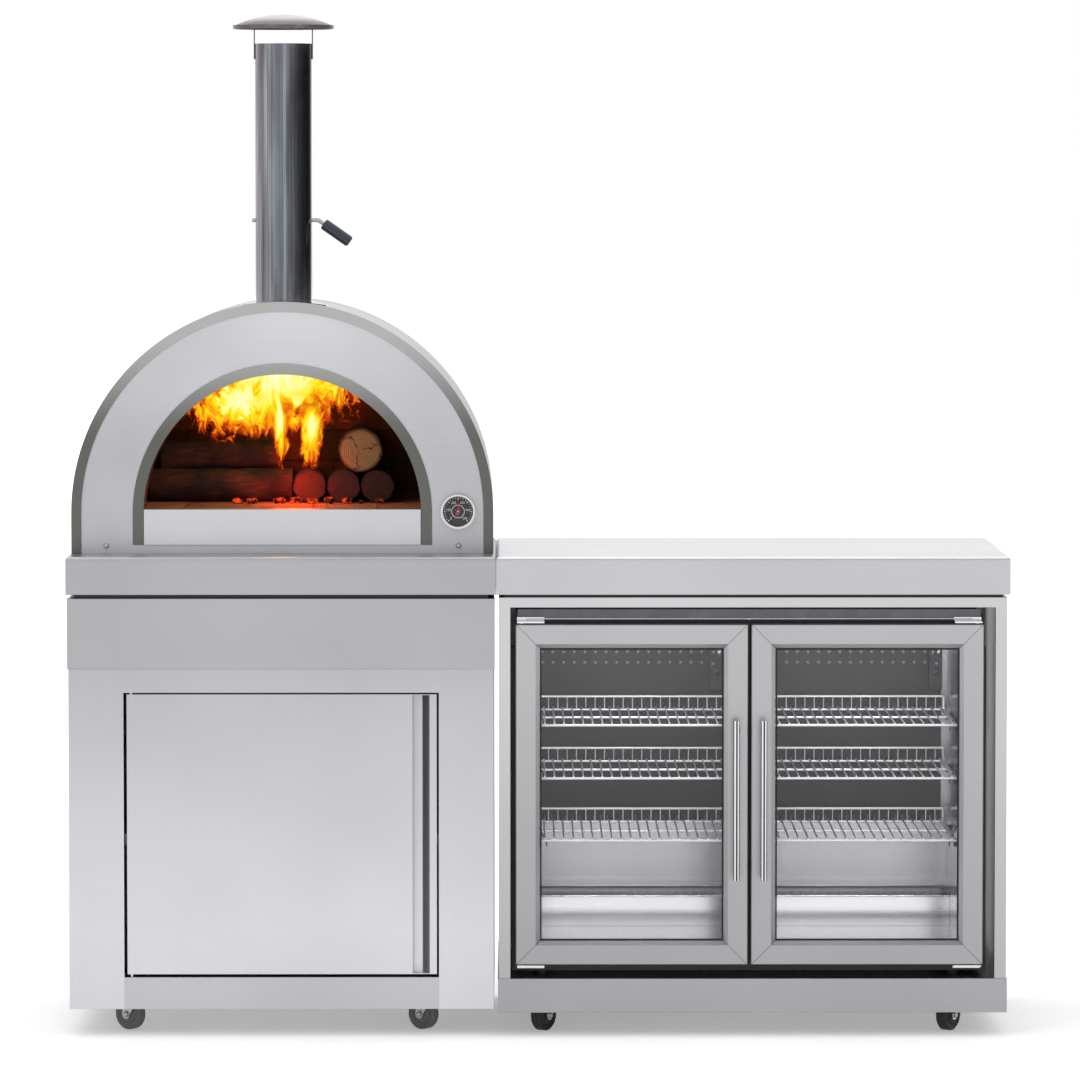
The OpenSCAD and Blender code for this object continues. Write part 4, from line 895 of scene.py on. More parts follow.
# The damper's grip: dark blue moulding, a little glossy
GRIP_PLASTIC = Coating("Navy_moulded_grip", "#262A38", 0.32, depth=0.08)
# Door seals: soft black rubber without shine
GASKET = Coating("Black_gasket_rubber", "#1A1A1B", 0.7)
# Wheels: grey rubber under the oven, black under the fridge
GREY_TYRE = Coating("Grey_tyre_rubber", "#77777A", 0.6)
BLACK_TYRE = Coating("Black_tyre_rubber", "#1C1C1E", 0.55)
# The dial's enamel, its print and its pointer
DIAL_BLACK = Coating("Dial_black_enamel", "#141418", 0.35, depth=0.02)
DIAL_WHITE = Coating("Dial_white_print", "#E8E8E4", depth=0.02)
NEEDLE_RED = Coating("Pointer_red_paint", "#C8281E", 0.4, depth=0.02)
# Insulation round the vault: matted ceramic fibre
BLANKET = Coating("Ceramic_fibre_blanket", "#E4DFD0", 0.95, grit=0.002, depth=0.8)
# The vault's brick, and the hearth's larger and paler tiles
VAULT_CLAY = FireClay("Refractory_vault", "#6A2C1E")
HEARTH_CLAY = FireClay(
    "Refractory_hearth", "#9A7448", joint="#5A4028", soot="#4A3220", width=0.124, height=0.2, sooted=0.5)
# Coated panes and lens: they mirror less than plain glass and leave the inside clear
GLASS = ClearGlass("Float_glass_coated", "#F9F9FA", 1.3)
LENS = ClearGlass("Lens_coated_clear", "#FFFFFF", 1.15)
# Logs that lie in and logs that lie across, their sawn ends and the burnt ones
BARK_LONG = Bark("Log_bark_lengthwise", "#5A3420", axis=1)
BARK_CROSS = Bark("Log_bark_crosswise", "#5A3420", axis=0)
LOG_END = EndGrain("Log_end_grain", "#8C8A60", ring="#66623C")
LOG_CHAR = EndGrain("Log_end_charred", "#2E1C10", ring="#0C0603", rim="#050302", cracks=5.0)
# Flames and coals give their own light
FLAME = Flames("Burning_gas", "#F59A12")
EMBER = Embers("Glowing_coal", "#120806")
# The studio's floor, and the card that the flue mirrors
PAPER = Paper("Studio_paper", "#F2F2F2")
CARD = Card("Card_flue", "#000000")


def fresh() -> None:
    """Leaves edit mode and deselects everything."""
    if bpy.context.object is not None and bpy.context.object.mode != "OBJECT":
        bpy.ops.object.mode_set(mode="OBJECT")
    bpy.ops.object.select_all(action="DESELECT")


@contextmanager
def editing() -> Iterator[None]:
    """Opens the active mesh in edit mode with all of it selected, and closes it in the end."""
    bpy.ops.object.mode_set(mode="EDIT")
    bpy.ops.mesh.select_all(action="SELECT")
    yield
    bpy.ops.object.mode_set(mode="OBJECT")


def pick(part: str, test: Callable[[Any], bool]) -> None:
    """Selects parts of the mesh in edit mode, and nothing else.

    Args:
        part: "VERT", "EDGE" or "FACE".
        test: Says for one of them whether it is picked.
    """
    bpy.ops.mesh.select_all(action="DESELECT")
    bpy.ops.mesh.select_mode(type=part)
    mesh = bpy.context.object.data
    work = bmesh.from_edit_mesh(mesh)
    for item in {"VERT": work.verts, "EDGE": work.edges, "FACE": work.faces}[part]:
        if test(item):
            item.select_set(True)
    work.select_flush_mode()
    bmesh.update_edit_mesh(mesh)


def runs(axis: int, least: float = 1e-5) -> Callable[[Any], bool]:
    """Returns the test for edges that run further than a length along an axis."""
    return lambda edge: abs(edge.verts[0].co[axis] - edge.verts[1].co[axis]) > least


def looks(axis: int, way: int = 0) -> Callable[[Any], bool]:
    """Returns the test for faces that look along an axis: forward for 1, back for -1, either way for 0."""
    return lambda face: (way * face.normal[axis] if way else abs(face.normal[axis])) > FLAT


def box(low: Point, high: Point) -> Piece:
    """Adds a box between two corners.

    Args:
        low: Its low corner.
        high: Its high corner.

    Returns:
        The box, with its size and place in its mesh.
    """
    fresh()
    bpy.ops.mesh.primitive_cube_add(size=1, location=[(a + b) / 2 for a, b in zip(low, high)])
    bpy.context.object.scale = [b - a for a, b in zip(low, high)]
    bpy.ops.object.transform_apply(location=True, rotation=False, scale=True)
    return bpy.context.object


def eased(low: Point, high: Point, axis: int, radius: float, segments: int) -> Piece:
    """Adds a box with its edges along one axis rounded.

    Args:
        low: Its low corner.
        high: Its high corner.
        axis: The axis of the rounded edges.
        radius: Their radius.
        segments: How many facets each has.

    Returns:
        The box.
    """
    piece = box(low, high)
    with editing():
        pick("EDGE", runs(axis))
        bpy.ops.mesh.bevel(offset=radius, segments=segments, affect="EDGES")
    return piece


def sink(rim: float, move: Point) -> None:
    """Extrudes the picked faces within a rim.

    Args:
        rim: The rim's width.
        move: How far and which way they go.
    """
    bpy.ops.mesh.inset(thickness=rim)
    bpy.ops.mesh.extrude_region_move(TRANSFORM_OT_translate={"value": move})


def tray(low: Point, high: Point, rim: float, depth: float) -> Piece:
    """Adds a box that is hollowed from the front.

    Args:
        low: Its low corner.
        high: Its high corner.
        rim: How thick its walls are.
        depth: How deep the hollow is.

    Returns:
        The box.
    """
    piece = box(low, high)
    with editing():
        pick("FACE", looks(Y, -1))
        sink(rim, (0, depth, 0))
    return piece


def hollow(axis: int, rim: float) -> None:
    """Cuts the middle out of the mesh in edit mode, straight through.

    Args:
        axis: The axis along which it is cut.
        rim: The width of what is left round the hole.
    """
    pick("FACE", looks(axis))
    bpy.ops.mesh.inset(thickness=rim)
    bpy.ops.mesh.bridge_edge_loops()


def rod(start: Point, end: Point, radius: float, sides: int = 8) -> Piece:
    """Adds a straight rod between two points.

    Args:
        start: The middle of its first end.
        end: The middle of its second end.
        radius: Its radius.
        sides: How many sides it has.

    Returns:
        The rod.
    """
    fresh()
    along = Vector(end) - Vector(start)
    bpy.ops.mesh.primitive_cylinder_add(
        vertices=sides, radius=radius, depth=along.length, location=(Vector(start) + Vector(end)) / 2,
        rotation=along.to_track_quat("Z", "Y").to_euler())
    return bpy.context.object


def domed(start: Point, end: Point, radius: float, sides: int, bevel: float, segments: int) -> Piece:
    """Adds a rod whose second end is rounded.

    Args:
        start: The middle of its first end.
        end: The middle of its rounded end.
        radius: Its radius.
        sides: How many sides it has.
        bevel: The radius of the rounding.
        segments: How many facets the rounding has.

    Returns:
        The rod.
    """
    piece = rod(start, end, radius, sides)
    with editing():
        pick("FACE", looks(Z, 1))
        bpy.ops.mesh.bevel(offset=bevel, segments=segments, affect="EDGES")
    return piece


def finish_piece(piece: Piece, name: str, *finishes: Finish, body: str = ROOT, slot: str = "",
                 smooth: float = 35.0) -> Piece:
    """Names a modelled piece, puts its place in its mesh, gives it its finishes and lets it ride on a body.

    Args:
        piece: The modelled object.
        name: The piece's name.
        *finishes: Its finishes, in the order of its material slots.
        body: The body that it moves with.
        slot: The record's material slot, if it takes one.
        smooth: Edges sharper than this many degrees stay sharp.

    Returns:
        The piece.
    """
    fresh()
    piece.select_set(True)
    bpy.context.view_layer.objects.active = piece
    bpy.ops.object.transform_apply(location=True, rotation=True, scale=True)
    bpy.ops.object.shade_smooth_by_angle(angle=math.radians(smooth))
    piece.name = name
    piece.data.name = name
    for finish in finishes:
        piece.data.materials.append(finish.material())
    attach(piece, body)
    if slot:
        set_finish(piece, slot)
    log.info("piece %s on %s, %d faces", name, body, len(piece.data.polygons))
    return piece


def enter(name: str, data: Any) -> Piece:
    """Puts an object with its mesh, lens or light into the scene.

    Args:
        name: The object's name.
        data: The mesh, lens or light.

    Returns:
        The object.
    """
    made = bpy.data.objects.new(name, data)
    bpy.context.scene.collection.objects.link(made)
    return made


def copy_piece(piece: Piece, name: str, move: Matrix, body: str = ROOT) -> None:
    """Copies a finished piece with its own mesh.

    Args:
        piece: The piece to copy.
        name: The copy's name.
        move: What moves the mesh to its new place.
        body: The body that the copy moves with.
    """
    made = enter(name, piece.data.copy())
    made.data.transform(move)
    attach(made, body)
    if "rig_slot" in piece:
        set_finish(made, piece["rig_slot"])


def spread(piece: Piece, stem: str, moves: list[Matrix], bodies: Optional[list[str]] = None) -> None:
    """Copies a finished piece to every place but the first, and moves the piece itself to that one.

    Args:
        piece: The first of them, which is number 1.
        stem: What their names start with.
        moves: What moves the mesh to each place.
        bodies: The body that each moves with, if it isn't the root.
    """
    for number in range(1, len(moves)):
        body = bodies[number] if bodies else ROOT
        copy_piece(piece, f"{stem}_{number + 1}", moves[number], body)
    piece.data.transform(moves[0])


def lamp(name: str, kind: str, watts: float, place: Point, target: Optional[Point] = None,
         **settings: Any) -> None:
    """Adds one lamp.

    Args:
        name: The lamp's name.
        kind: "AREA" or "POINT".
        watts: Its power.
        place: Where it stands.
        target: What it points at, if it has a direction.
        **settings: Its size, shape and colour.
    """
    light = bpy.data.lights.new(name, kind)
    light.energy = watts
    for key, value in settings.items():
        setattr(light, key, value)
    stand = enter(name, light)
    stand.location = place
    if target is not None:
        stand.rotation_euler = (Vector(target) - Vector(place)).to_track_quat("-Z", "Y").to_euler()


def names(stem: str, numbers: Iterable[int]) -> tuple[str, ...]:
    """Returns the names of nodes that differ by their number."""
    return tuple(f"{stem}_{number}" for number in numbers)


@dataclass
class Studio:
    """Camera, floor, background, lamps and the card round the flue."""

    eye: Point = (-0.0575, -12.286, 1.697)
    pitch: float = 0.06196  # downwards, in radians
    yaw: float = 0.00509  # to the right
    focal: float = 6317.4 / 1080 * 36  # in mm, from its length in the photo's pixels
    sensor: float = 36.0
    sky: float = 0.8  # the background's light on the object, as a share of its white
    floor_side: float = 120.0
    card_middle: Span = (-0.49025, -0.061)  # the flue's
    card_reach: float = 4.0
    card_levels: Span = (1.26, 2.02)

    def camera(self) -> None:
        """Sets the camera at the photograph's viewing angle."""
        lens = bpy.data.cameras.new("Camera")
        lens.lens = self.focal
        lens.sensor_width = self.sensor
        eye = enter("Camera", lens)
        eye.location = self.eye
        eye.rotation_euler = (math.pi / 2 - self.pitch, 0.0, -self.yaw)
        bpy.context.scene.camera = eye

    def floor(self) -> None:
        """Lays the pale floor, which keeps the shadow and runs into the white background."""
        fresh()
        bpy.ops.mesh.primitive_plane_add(size=self.floor_side, location=(0, 0, 0))
        ground = bpy.context.object
        ground.name = "Floor"
        ground.data.materials.append(PAPER.material())

    def background(self) -> None:
        """Makes the background white, and its light on the object softer."""
        world = bpy.data.worlds.new("Studio")
        bpy.context.scene.world = world
        world.use_nodes = True
        tree = world.node_tree
        level = add(tree, "MapRange", {0: seen(tree), 3: self.sky, 4: 1.0})
        feed(tree, tree.nodes["Background"], {0: WHITE, 1: level})

    def card(self) -> None:
        """Bends the card round the flue, where only mirrors see it."""
        fresh()
        low, high = self.card_levels
        bpy.ops.mesh.primitive_cylinder_add(
            vertices=72, radius=self.card_reach, depth=high - low, end_fill_type="NOTHING",
            location=(*self.card_middle, (low + high) / 2))
        sheet = bpy.context.object
        sheet.name = CARD.name

        def outside(face: Any) -> bool:
            """Says whether a face lies beyond the card's ends."""
            spot = face.calc_center_median()
            return not CARD.turns[0] <= math.degrees(math.atan2(spot.x, -spot.y)) <= CARD.turns[1]

        with editing():
            pick("FACE", outside)
            bpy.ops.mesh.delete(type="FACE")
        sheet.data.materials.append(CARD.material())
        for ray in ("camera", "diffuse", "transmission", "volume_scatter", "shadow"):
            setattr(sheet, "visible_" + ray, False)

    def build(self) -> None:
        """Sets up the whole studio."""
        self.camera()
        self.floor()
        self.background()
        lamp("Key", "AREA", 34, (-2.6, -4.2, 3.6), (0.0, 0.0, 0.8), size=2.4)
        lamp("Fill", "AREA", 18, (3.2, -4.6, 2.6), (0.1, 0.0, 0.8), size=2.4)
        lamp("Top", "AREA", 36, (0.0, 0.4, 4.6), (0.0, 0.0, 0.9), size=2.8)
        self.card()
        bpy.context.scene.view_settings.view_transform = "Standard"
        log.info("studio set")


@dataclass
class Assembly:
    """A group of the kitchen's nodes, with the finish of each."""

    coats: Coats = ()

    def build(self) -> None:
        """Gives the nodes their finishes through their material slots."""
        for finish, group in self.coats:
            for name in group:
                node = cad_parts[name]
                if not node.material_slots:
                    node.data.materials.append(finish.material())
                for slot in node.material_slots:
                    slot.material = finish.material()
                log.info("node %s in %s", name, finish.name)


@dataclass
class Bench(Assembly):
    """Bench tops, cabinet, frame and base of both modules."""

    coats: Coats = (
        (OVEN_BENCH_STEEL, ("oven_bench",)),
        (BENCH_STEEL, ("fridge_bench",)),
        (PANEL_STEEL, ("oven_cabinet_panels", "oven_cabinet_frame", "cabinet_door", "cabinet_door_liner")),
        (LEVEL_STEEL, ("apron_panel", "oven_cabinet_base", "cabinet_shelf")),
        (FRAME_STEEL, ("fridge_bench_base",)),
        (STILE_STEEL, ("fridge_bench_frame",)),
        (BLACK_COAT, ("bench_bearers",)),
    )


@dataclass
class Oven(Assembly):
    """Oven shell, face, mouth, vault and hearth."""

    coats: Coats = (
        (OVEN_STEEL, ("oven_shell", "oven_back", "oven_face")),
        (SILL_STEEL, ("threshold_panel",)),
        (TRIM_STEEL, ("face_trim", "mouth_collar")),
        (VAULT_CLAY, ("oven_vault",)),
        (HEARTH_CLAY, ("hearth_bricks",)),
        (BLANKET, ("oven_insulation",)),
    )


@dataclass
class Log:
    """One log of the fire."""

    name: str
    place: Point
    radius: float
    length: float
    axis: int  # the axis that it lies along
    seed: int
    charred: bool = True
    inside: float = 0.0012  # how far its smooth form stays within its radius
    bumps: float = 0.0016  # how far the bark's bumps reach

    def build(self) -> Piece:
        """Models the log with rough bark and sawn ends.

        Returns:
            The log.
        """
        fresh()
        across = self.axis == X
        bpy.ops.mesh.primitive_cylinder_add(
            vertices=26, radius=self.radius - self.inside, depth=self.length, location=self.place,
            rotation=(0.0, math.pi / 2, 0.0) if across else (math.pi / 2, 0.0, 0.0))
        with editing():
            pick("FACE", looks(Z))
            bpy.ops.mesh.inset(thickness=self.radius * 0.1)
            bpy.ops.mesh.inset(thickness=self.radius * 0.4)
            pick("EDGE", runs(Z, self.length * 0.9))
            bpy.ops.mesh.subdivide(number_cuts=9)
            pick("VERT", lambda v: v.co.xy.length > self.radius * 0.95)
            bpy.ops.transform.vertex_random(offset=self.bumps, uniform=0.4, normal=0.6, seed=self.seed)
        finishes = (BARK_CROSS if across else BARK_LONG, LOG_CHAR if self.charred else LOG_END)
        piece = finish_piece(bpy.context.object, self.name, *finishes, slot="wood", smooth=50)
        for face in piece.data.polygons:
            face.material_index = int(abs(face.normal[self.axis]) > 0.9)
        return piece


@dataclass
class Fire:
    """Log pile, embers and flames in the vault."""

    x: float = -0.49025
    sill: float = 1.005
    back: float = 0.189  # of the pile
    row: float = -0.44525  # the place across of the first log that lies in
    thin: float = 0.033  # radius of six of the logs
    thick: float = 0.044  # radius of the one on top of those that lie in
    length: float = 0.15  # of the logs that lie in
    long: float = 0.279  # length of those that lie across
    shorter: float = 0.04  # by how much the top log across is shorter than the two under it
    gap: float = 0.0003  # between neighbours
    side_gap: float = 0.0009  # between the logs that lie in and those that lie across
    coal_r: float = 0.009
    coal_apart: float = 0.026
    coal_count: int = 9
    coal_spread: tuple[Span, Span] = ((-0.6, -0.3), (0.0, 0.024))
    coal_sizes: Span = (0.6, 1.1)
    seed: int = 7
    arch_z: float = 0.998  # the middle of the arch that trims the flames
    arch_r: float = 0.298
    flame_middle: Span = (-0.505, 1.19)
    flame_size: Span = (0.42, 0.24)
    sheets: tuple[Span, ...] = ((-0.02, 30.0), (0.04, -25.0), (0.1, 30.0))  # place and bend of each

    def logs(self) -> list[Log]:
        """Works out the pile.

        Returns:
            The seven logs.
        """
        step = 2 * self.thin + self.gap
        rise = math.sqrt(step ** 2 - (step / 2) ** 2)
        rise_thick = math.sqrt((self.thin + self.thick + self.gap) ** 2 - (step / 2) ** 2)
        y = self.back - self.length / 2
        z = self.sill + self.thin
        x = self.row - self.thin - self.side_gap - self.long / 2
        behind = self.back - self.thin
        pile = [
            Log(f"Log_{i + 1}", (self.row + i * step, y, z), self.thin, self.length, Y, i) for i in range(3)
        ]
        thick = (self.row + 1.5 * step, y, z + rise_thick)
        pile.append(Log("Log_4", thick, self.thick, self.length, Y, 4, charred=False))
        pile += [
            Log(f"Log_{i + 5}", (x, behind - i * step, z), self.thin, self.long, X, 5 + i) for i in range(2)
        ]
        top = (x, behind - step / 2, z + rise)
        pile.append(Log("Log_7", top, self.thin, self.long - self.shorter, X, 8))
        return pile

    def coals(self) -> None:
        """Scatters glowing coals in front of the logs."""
        fresh()
        bpy.ops.mesh.primitive_ico_sphere_add(subdivisions=2, radius=self.coal_r, location=(0, 0, 0))
        with editing():
            bpy.ops.transform.vertex_random(offset=0.003, uniform=0.6, normal=0.4, seed=3)
            bpy.ops.transform.resize(value=(1.3, 1.0, 0.7), center_override=(0, 0, 0))
        coal = finish_piece(bpy.context.object, "Coal_1", EMBER, slot="wood", smooth=60)
        chance = random.Random(self.seed)
        bottom = min(v.co.z for v in coal.data.vertices)
        spots: list[Span] = []
        while len(spots) < self.coal_count:
            spot = tuple(chance.uniform(*ends) for ends in self.coal_spread)
            if all(math.dist(spot, other) > self.coal_apart for other in spots):
                spots.append(spot)
        moves = [Matrix.Translation((*spots[0], self.sill - bottom))]
        for spot in spots[1:]:
            size = chance.uniform(*self.coal_sizes)
            turn = Matrix.Rotation(chance.uniform(0, math.tau), 4, "Z") @ Matrix.Scale(size, 4)
            moves.append(Matrix.Translation((*spot, self.sill - bottom * size)) @ turn)
        spread(coal, "Coal", moves)

    def flames(self) -> None:
        """Raises curved sheets of flame over the wood, trimmed to the vault's arch."""
        x, z = self.flame_middle
        width, height = self.flame_size
        for number, (y, bend) in enumerate(self.sheets, 1):
            fresh()
            bpy.ops.mesh.primitive_grid_add(
                x_subdivisions=28, y_subdivisions=14, size=1, location=(x, y, z),
                rotation=(math.pi / 2, 0, 0))
            with editing():
                bpy.ops.transform.resize(
                    value=(width, 1, height), orient_type="GLOBAL", center_override=(x, y, z))
                bpy.ops.transform.vertex_random(offset=0.003, seed=number + 1)
                arch = (self.x - x, self.arch_z - z)
                pick("VERT", lambda v: math.dist(v.co.xy, arch) > self.arch_r)
                bpy.ops.mesh.delete(type="VERT")
            sheet = bpy.context.object
            curl = sheet.modifiers.new("Curl", "SIMPLE_DEFORM")
            curl.deform_method = "BEND"
            curl.deform_axis = "Y"
            curl.angle = math.radians(bend)
            bpy.ops.object.modifier_apply(modifier="Curl")
            finish_piece(sheet, f"Flame_sheet_{number}", FLAME, smooth=80)

    def glow(self) -> None:
        """Lights the vault from the flames and from the embers."""
        for name, watts, colour, place in (
            ("Flame_light", 1.2, "#FFB478", (-0.505, -0.01, 1.21)),
            ("Ember_light", 1.3, "#FF3010", (-0.47, 0.0, 1.045)),
        ):
            lamp(name, "POINT", watts, place, color=linear(colour)[:3], shadow_soft_size=0.04)

    def build(self) -> None:
        """Builds the fire in place of the plain logs."""
        pile = [one.build() for one in self.logs()]
        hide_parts("firewood")
        self.coals()
        self.flames()
        self.glow()


@dataclass
class Thermometer(Assembly):
    """Dial, bezel, pointer and lens on the oven's face."""

    coats: Coats = (
        (BEZEL, ("thermometer_case",)), (NEEDLE_RED, ("thermometer_needle",)), (LENS, ("thermometer_lens",)),
    )
    centre: Point = (-0.15325, -0.1845, 1.001)
    radius: float = 0.0295
    face_gap: float = 0.0004  # between the enamel and the case round it
    face_y: Span = (0.00001, 0.00031)  # the enamel's back and front, both before the dial's middle
    face_rim: float = 0.002
    face_dish: float = 0.00008
    ring_r: float = 0.0128
    ring_w: float = 0.0011
    mark_end: float = 0.0272
    mark_sizes: Span = (0.0022, 0.0042)
    mark_widths: Span = (1.0, 1.4)
    number_r: float = 0.0188
    number_size: float = 0.0062
    marks: int = 25
    every: int = 4  # every fourth mark is a long one
    print_y: float = 0.0004  # the print lies this far in front of the dial's middle
    print_half: float = 0.0001  # half its thickness
    mark_r: float = 0.0005
    sweep: float = 270.0
    figures: tuple[str, ...] = ("0", "100", "200", "300", "400", "500")

    def build(self) -> None:
        """Dresses the thermometer and prints its dial."""
        super().build()
        self.face()
        self.ring()
        self.ticks()
        self.numbers()

    def disc(self, radius: float, sides: int, near: float, far: float) -> None:
        """Adds a thin round plate in front of the dial's middle.

        Args:
            radius: Its radius.
            sides: How many sides it has.
            near: How far in front its back is.
            far: How far in front its face is.
        """
        x, y, z = self.centre
        rod((x, y - near, z), (x, y - far, z), radius, sides)

    def face(self) -> None:
        """Lays the black enamel disc with its raised rim."""
        self.disc(self.radius - self.face_gap, 64, *self.face_y)
        with editing():
            pick("FACE", looks(Z, 1))
            bpy.ops.mesh.inset(thickness=self.face_rim)
            bpy.ops.transform.translate(value=(0, self.face_dish, 0))
        finish_piece(bpy.context.object, "Dial_face", DIAL_BLACK)

    def ring(self) -> None:
        """Prints the white ring inside the scale."""
        self.disc(self.ring_r, 72, self.print_y - self.print_half, self.print_y + self.print_half)
        with editing():
            hollow(Z, self.ring_w)
        finish_piece(bpy.context.object, "Dial_ring", DIAL_WHITE)

    def at(self, share: float, radius: float) -> tuple[float, Point]:
        """Finds a place on the scale.

        Args:
            share: How far along the scale it is, from 0 to 1.
            radius: Distance from the dial's centre.

        Returns:
            Its angle clockwise from straight up, and the place in front of the enamel.
        """
        turn = math.radians(self.sweep * (share - 0.5))
        x, y, z = self.centre
        return turn, (x + radius * math.sin(turn), y - self.print_y, z + radius * math.cos(turn))

    def ticks(self) -> None:
        """Prints the scale's marks: one of unit length, stretched for each place."""
        fresh()
        bpy.ops.mesh.primitive_cylinder_add(vertices=4, radius=self.mark_r, depth=1, location=(0, 0, 0))
        with editing():
            bpy.ops.transform.resize(value=(1, 0.2, 1), center_override=(0, 0, 0))
            pick("FACE", looks(Z, 1))
            bpy.ops.transform.resize(value=(1.3, 1, 1), center_override=(0, 0, 0.5))
        mark = finish_piece(bpy.context.object, "Dial_mark_1", DIAL_WHITE)
        moves = []
        for i in range(self.marks):
            long = i % self.every == 0
            size = self.mark_sizes[long]
            turn, spot = self.at(i / (self.marks - 1), self.mark_end - size / 2)
            shape = Matrix.Diagonal((self.mark_widths[long], 1, size, 1))
            moves.append(Matrix.Translation(spot) @ Matrix.Rotation(turn, 4, "Y") @ shape)
        spread(mark, "Dial_mark", moves)

    def numbers(self) -> None:
        """Prints the numbers of the scale."""
        for i, figure in enumerate(self.figures):
            fresh()
            spot = self.at(i / (len(self.figures) - 1), self.number_r)[1]
            bpy.ops.object.text_add(location=spot, rotation=(math.pi / 2, 0, 0))
            text = bpy.context.object.data
            text.body = figure
            text.size = self.number_size
            text.extrude = self.print_half
            text.align_x = "CENTER"
            text.align_y = "CENTER"
            bpy.ops.object.convert(target="MESH")
            finish_piece(bpy.context.object, f"Dial_number_{figure}", DIAL_WHITE)


@dataclass
class Flue(Assembly):
    """Flue pipes, damper and rain cap."""

    coats: Coats = (
        (FLUE_STEEL, ("flue_lower", "flue_upper")), (CAP_STEEL, ("flue_cap",)), (ZINC, ("damper_plate",)),
        (GRIP_PLASTIC, ("damper_grip",)),
    )


@dataclass
class Room:
    """Bright facing and fittings of the fridge's two compartments, modelled in the left one and copied."""

    low: Point = (-0.005, -0.235, 0.167)
    high: Point = (0.381, 0.175, 0.761)
    shift: float = 0.432  # from the left compartment to the right one
    levels: tuple[float, ...] = (0.370, 0.490, 0.592)  # the shelves' heights
    skin: float = 0.0004
    hump_y: float = 0.092  # the step's front
    hump_z: float = 0.245  # the step's top
    hump_skin: float = 1.6  # its facing's distance from the walls, in thicknesses of theirs
    slope: Span = (0.3, 0.25)  # the shares of its depth and of its height that the slope takes
    slope_r: float = 0.004
    cover_y: float = 0.163
    cover_z: float = 0.38
    side_gap: float = 0.014  # between a wall and the cover
    fin_count: int = 26
    gap_depth: float = 0.004
    gap_z: Span = (0.012, 0.0003)  # the air gap's foot and top, both below the cover
    gap_rim: float = 0.001
    gap_hollow: float = 0.0025
    fin_half: float = 0.0012
    fin_y: Span = (0.0046, 0.002)  # its front and back, both before the wall's facing
    fin_z: Span = (0.011, 0.002)  # its foot and top, both below the cover
    fin_r: float = 0.0006
    slot_from: Span = (0.1, 0.635)  # the first slot's place from the right wall, and its height
    slot_pitch: Span = (0.026, 0.013)
    slot_size: Span = (0.021, 0.006)
    slot_r: float = 0.0028
    slot_out: float = 0.0006  # its middle stands this far before the cover
    slot_half: float = 0.0004
    slot_count: int = 6
    screw_in: float = 0.0575
    screw_rise: float = 0.022
    screw_r: float = 0.0046
    screw_sunk: float = 0.0022  # its foot lies this far behind the cover's front
    screw_h: float = 0.005
    screw_dome: float = 0.0018
    fence_in: float = 0.006
    fence_pitch: float = 0.0184
    fence_y: float = 0.128
    fence_h: float = 0.026
    fence_r: float = 0.0012
    fence_bow: float = 0.001
    display_out: float = 0.03  # the controller's front stands this far before the cover
    display_half: float = 0.008
    display_z: Span = (0.70, 0.728)
    display_t: float = 0.0012
    display_rim: float = 0.0016
    display_dish: float = 0.0006
    controller_half: float = 0.013
    knob_z: float = 0.666
    knob_r: float = 0.007
    knob_h: float = 0.006
    knob_dome: float = 0.001
    spring_in: float = 0.0025
    spring_r: float = 0.0013
    spring_from: Span = (0.05, 0.03)  # its upper end: behind the room's front, and over the shelf
    spring_to: Point = (0.02, 0.035, -0.012)  # its lower end: across from the upper one, then as above
    spring_bow: float = 0.002
    light_in: Span = (0.03, 0.02)  # behind the room's front, and under its ceiling
    light_size: Span = (0.3, 0.03)
    light_power: float = 0.8

    def pair(self, piece: Piece, stem: str, finish: Finish, slot: str = "grey_plastic",
             number: int = 0) -> None:
        """Finishes a piece of the left compartment and copies it into the right one.

        Args:
            piece: The left piece.
            stem: What both names start with.
            finish: Their finish.
            slot: The record's material slot, if they take one.
            number: Their number, if there are more of them.
        """
        tail = f"_{number}" if number else ""
        finish_piece(piece, f"{stem}_left{tail}", finish, slot=slot)
        copy_piece(piece, f"{stem}_right{tail}", Matrix.Translation((self.shift, 0, 0)))

    def liner(self) -> None:
        """Folds the facing of walls, floor and ceiling as a box that is open to the front."""
        thin = self.skin
        depth = self.high[1] - self.low[1] - 2 * thin
        piece = tray([a + thin / 4 for a in self.low], [a - thin / 4 for a in self.high], thin, depth)
        self.pair(piece, "Liner", LINER_STEEL, "")

    def step(self) -> None:
        """Folds the facing over the step at the back of the floor, its front edge cut to a slope."""
        out = self.hump_skin * self.skin
        low = (self.low[0] + out, self.hump_y - out, self.low[2] + out)
        piece = box(low, (self.high[0] - out, self.high[1], self.hump_z + out))
        rise = self.hump_z - self.low[2]
        run = self.high[1] - self.hump_y
        cut_y, cut_z = self.slope[0] * run, self.slope[1] * rise
        start = (0, low[1], self.low[2] + rise - cut_z + out)

        def folded(edge: Any) -> bool:
            """Says whether an edge runs along the slope's upper or lower end."""
            near = all(v.co.y < start[1] + cut_y + 0.001 and v.co.z > start[2] - 0.01 for v in edge.verts)
            return near and runs(X)(edge)

        with editing():
            bpy.ops.mesh.bisect(plane_co=start, plane_no=(0, -cut_z, cut_y), use_fill=True, clear_outer=True)
            pick("EDGE", folded)
            bpy.ops.mesh.bevel(offset=self.slope_r, segments=3, affect="EDGES")
        self.pair(piece, "Step_facing", STEP_STEEL, "")

    def grille(self) -> None:
        """Sets the air gap under the fan cover as a black tray of painted shade, with its row of fins."""
        x0, x1 = self.low[0] + self.side_gap, self.high[0] - self.side_gap
        y = self.high[1] - self.skin
        z = self.cover_z
        low, high = (x0, y - self.gap_depth, z - self.gap_z[0]), (x1, y, z - self.gap_z[1])
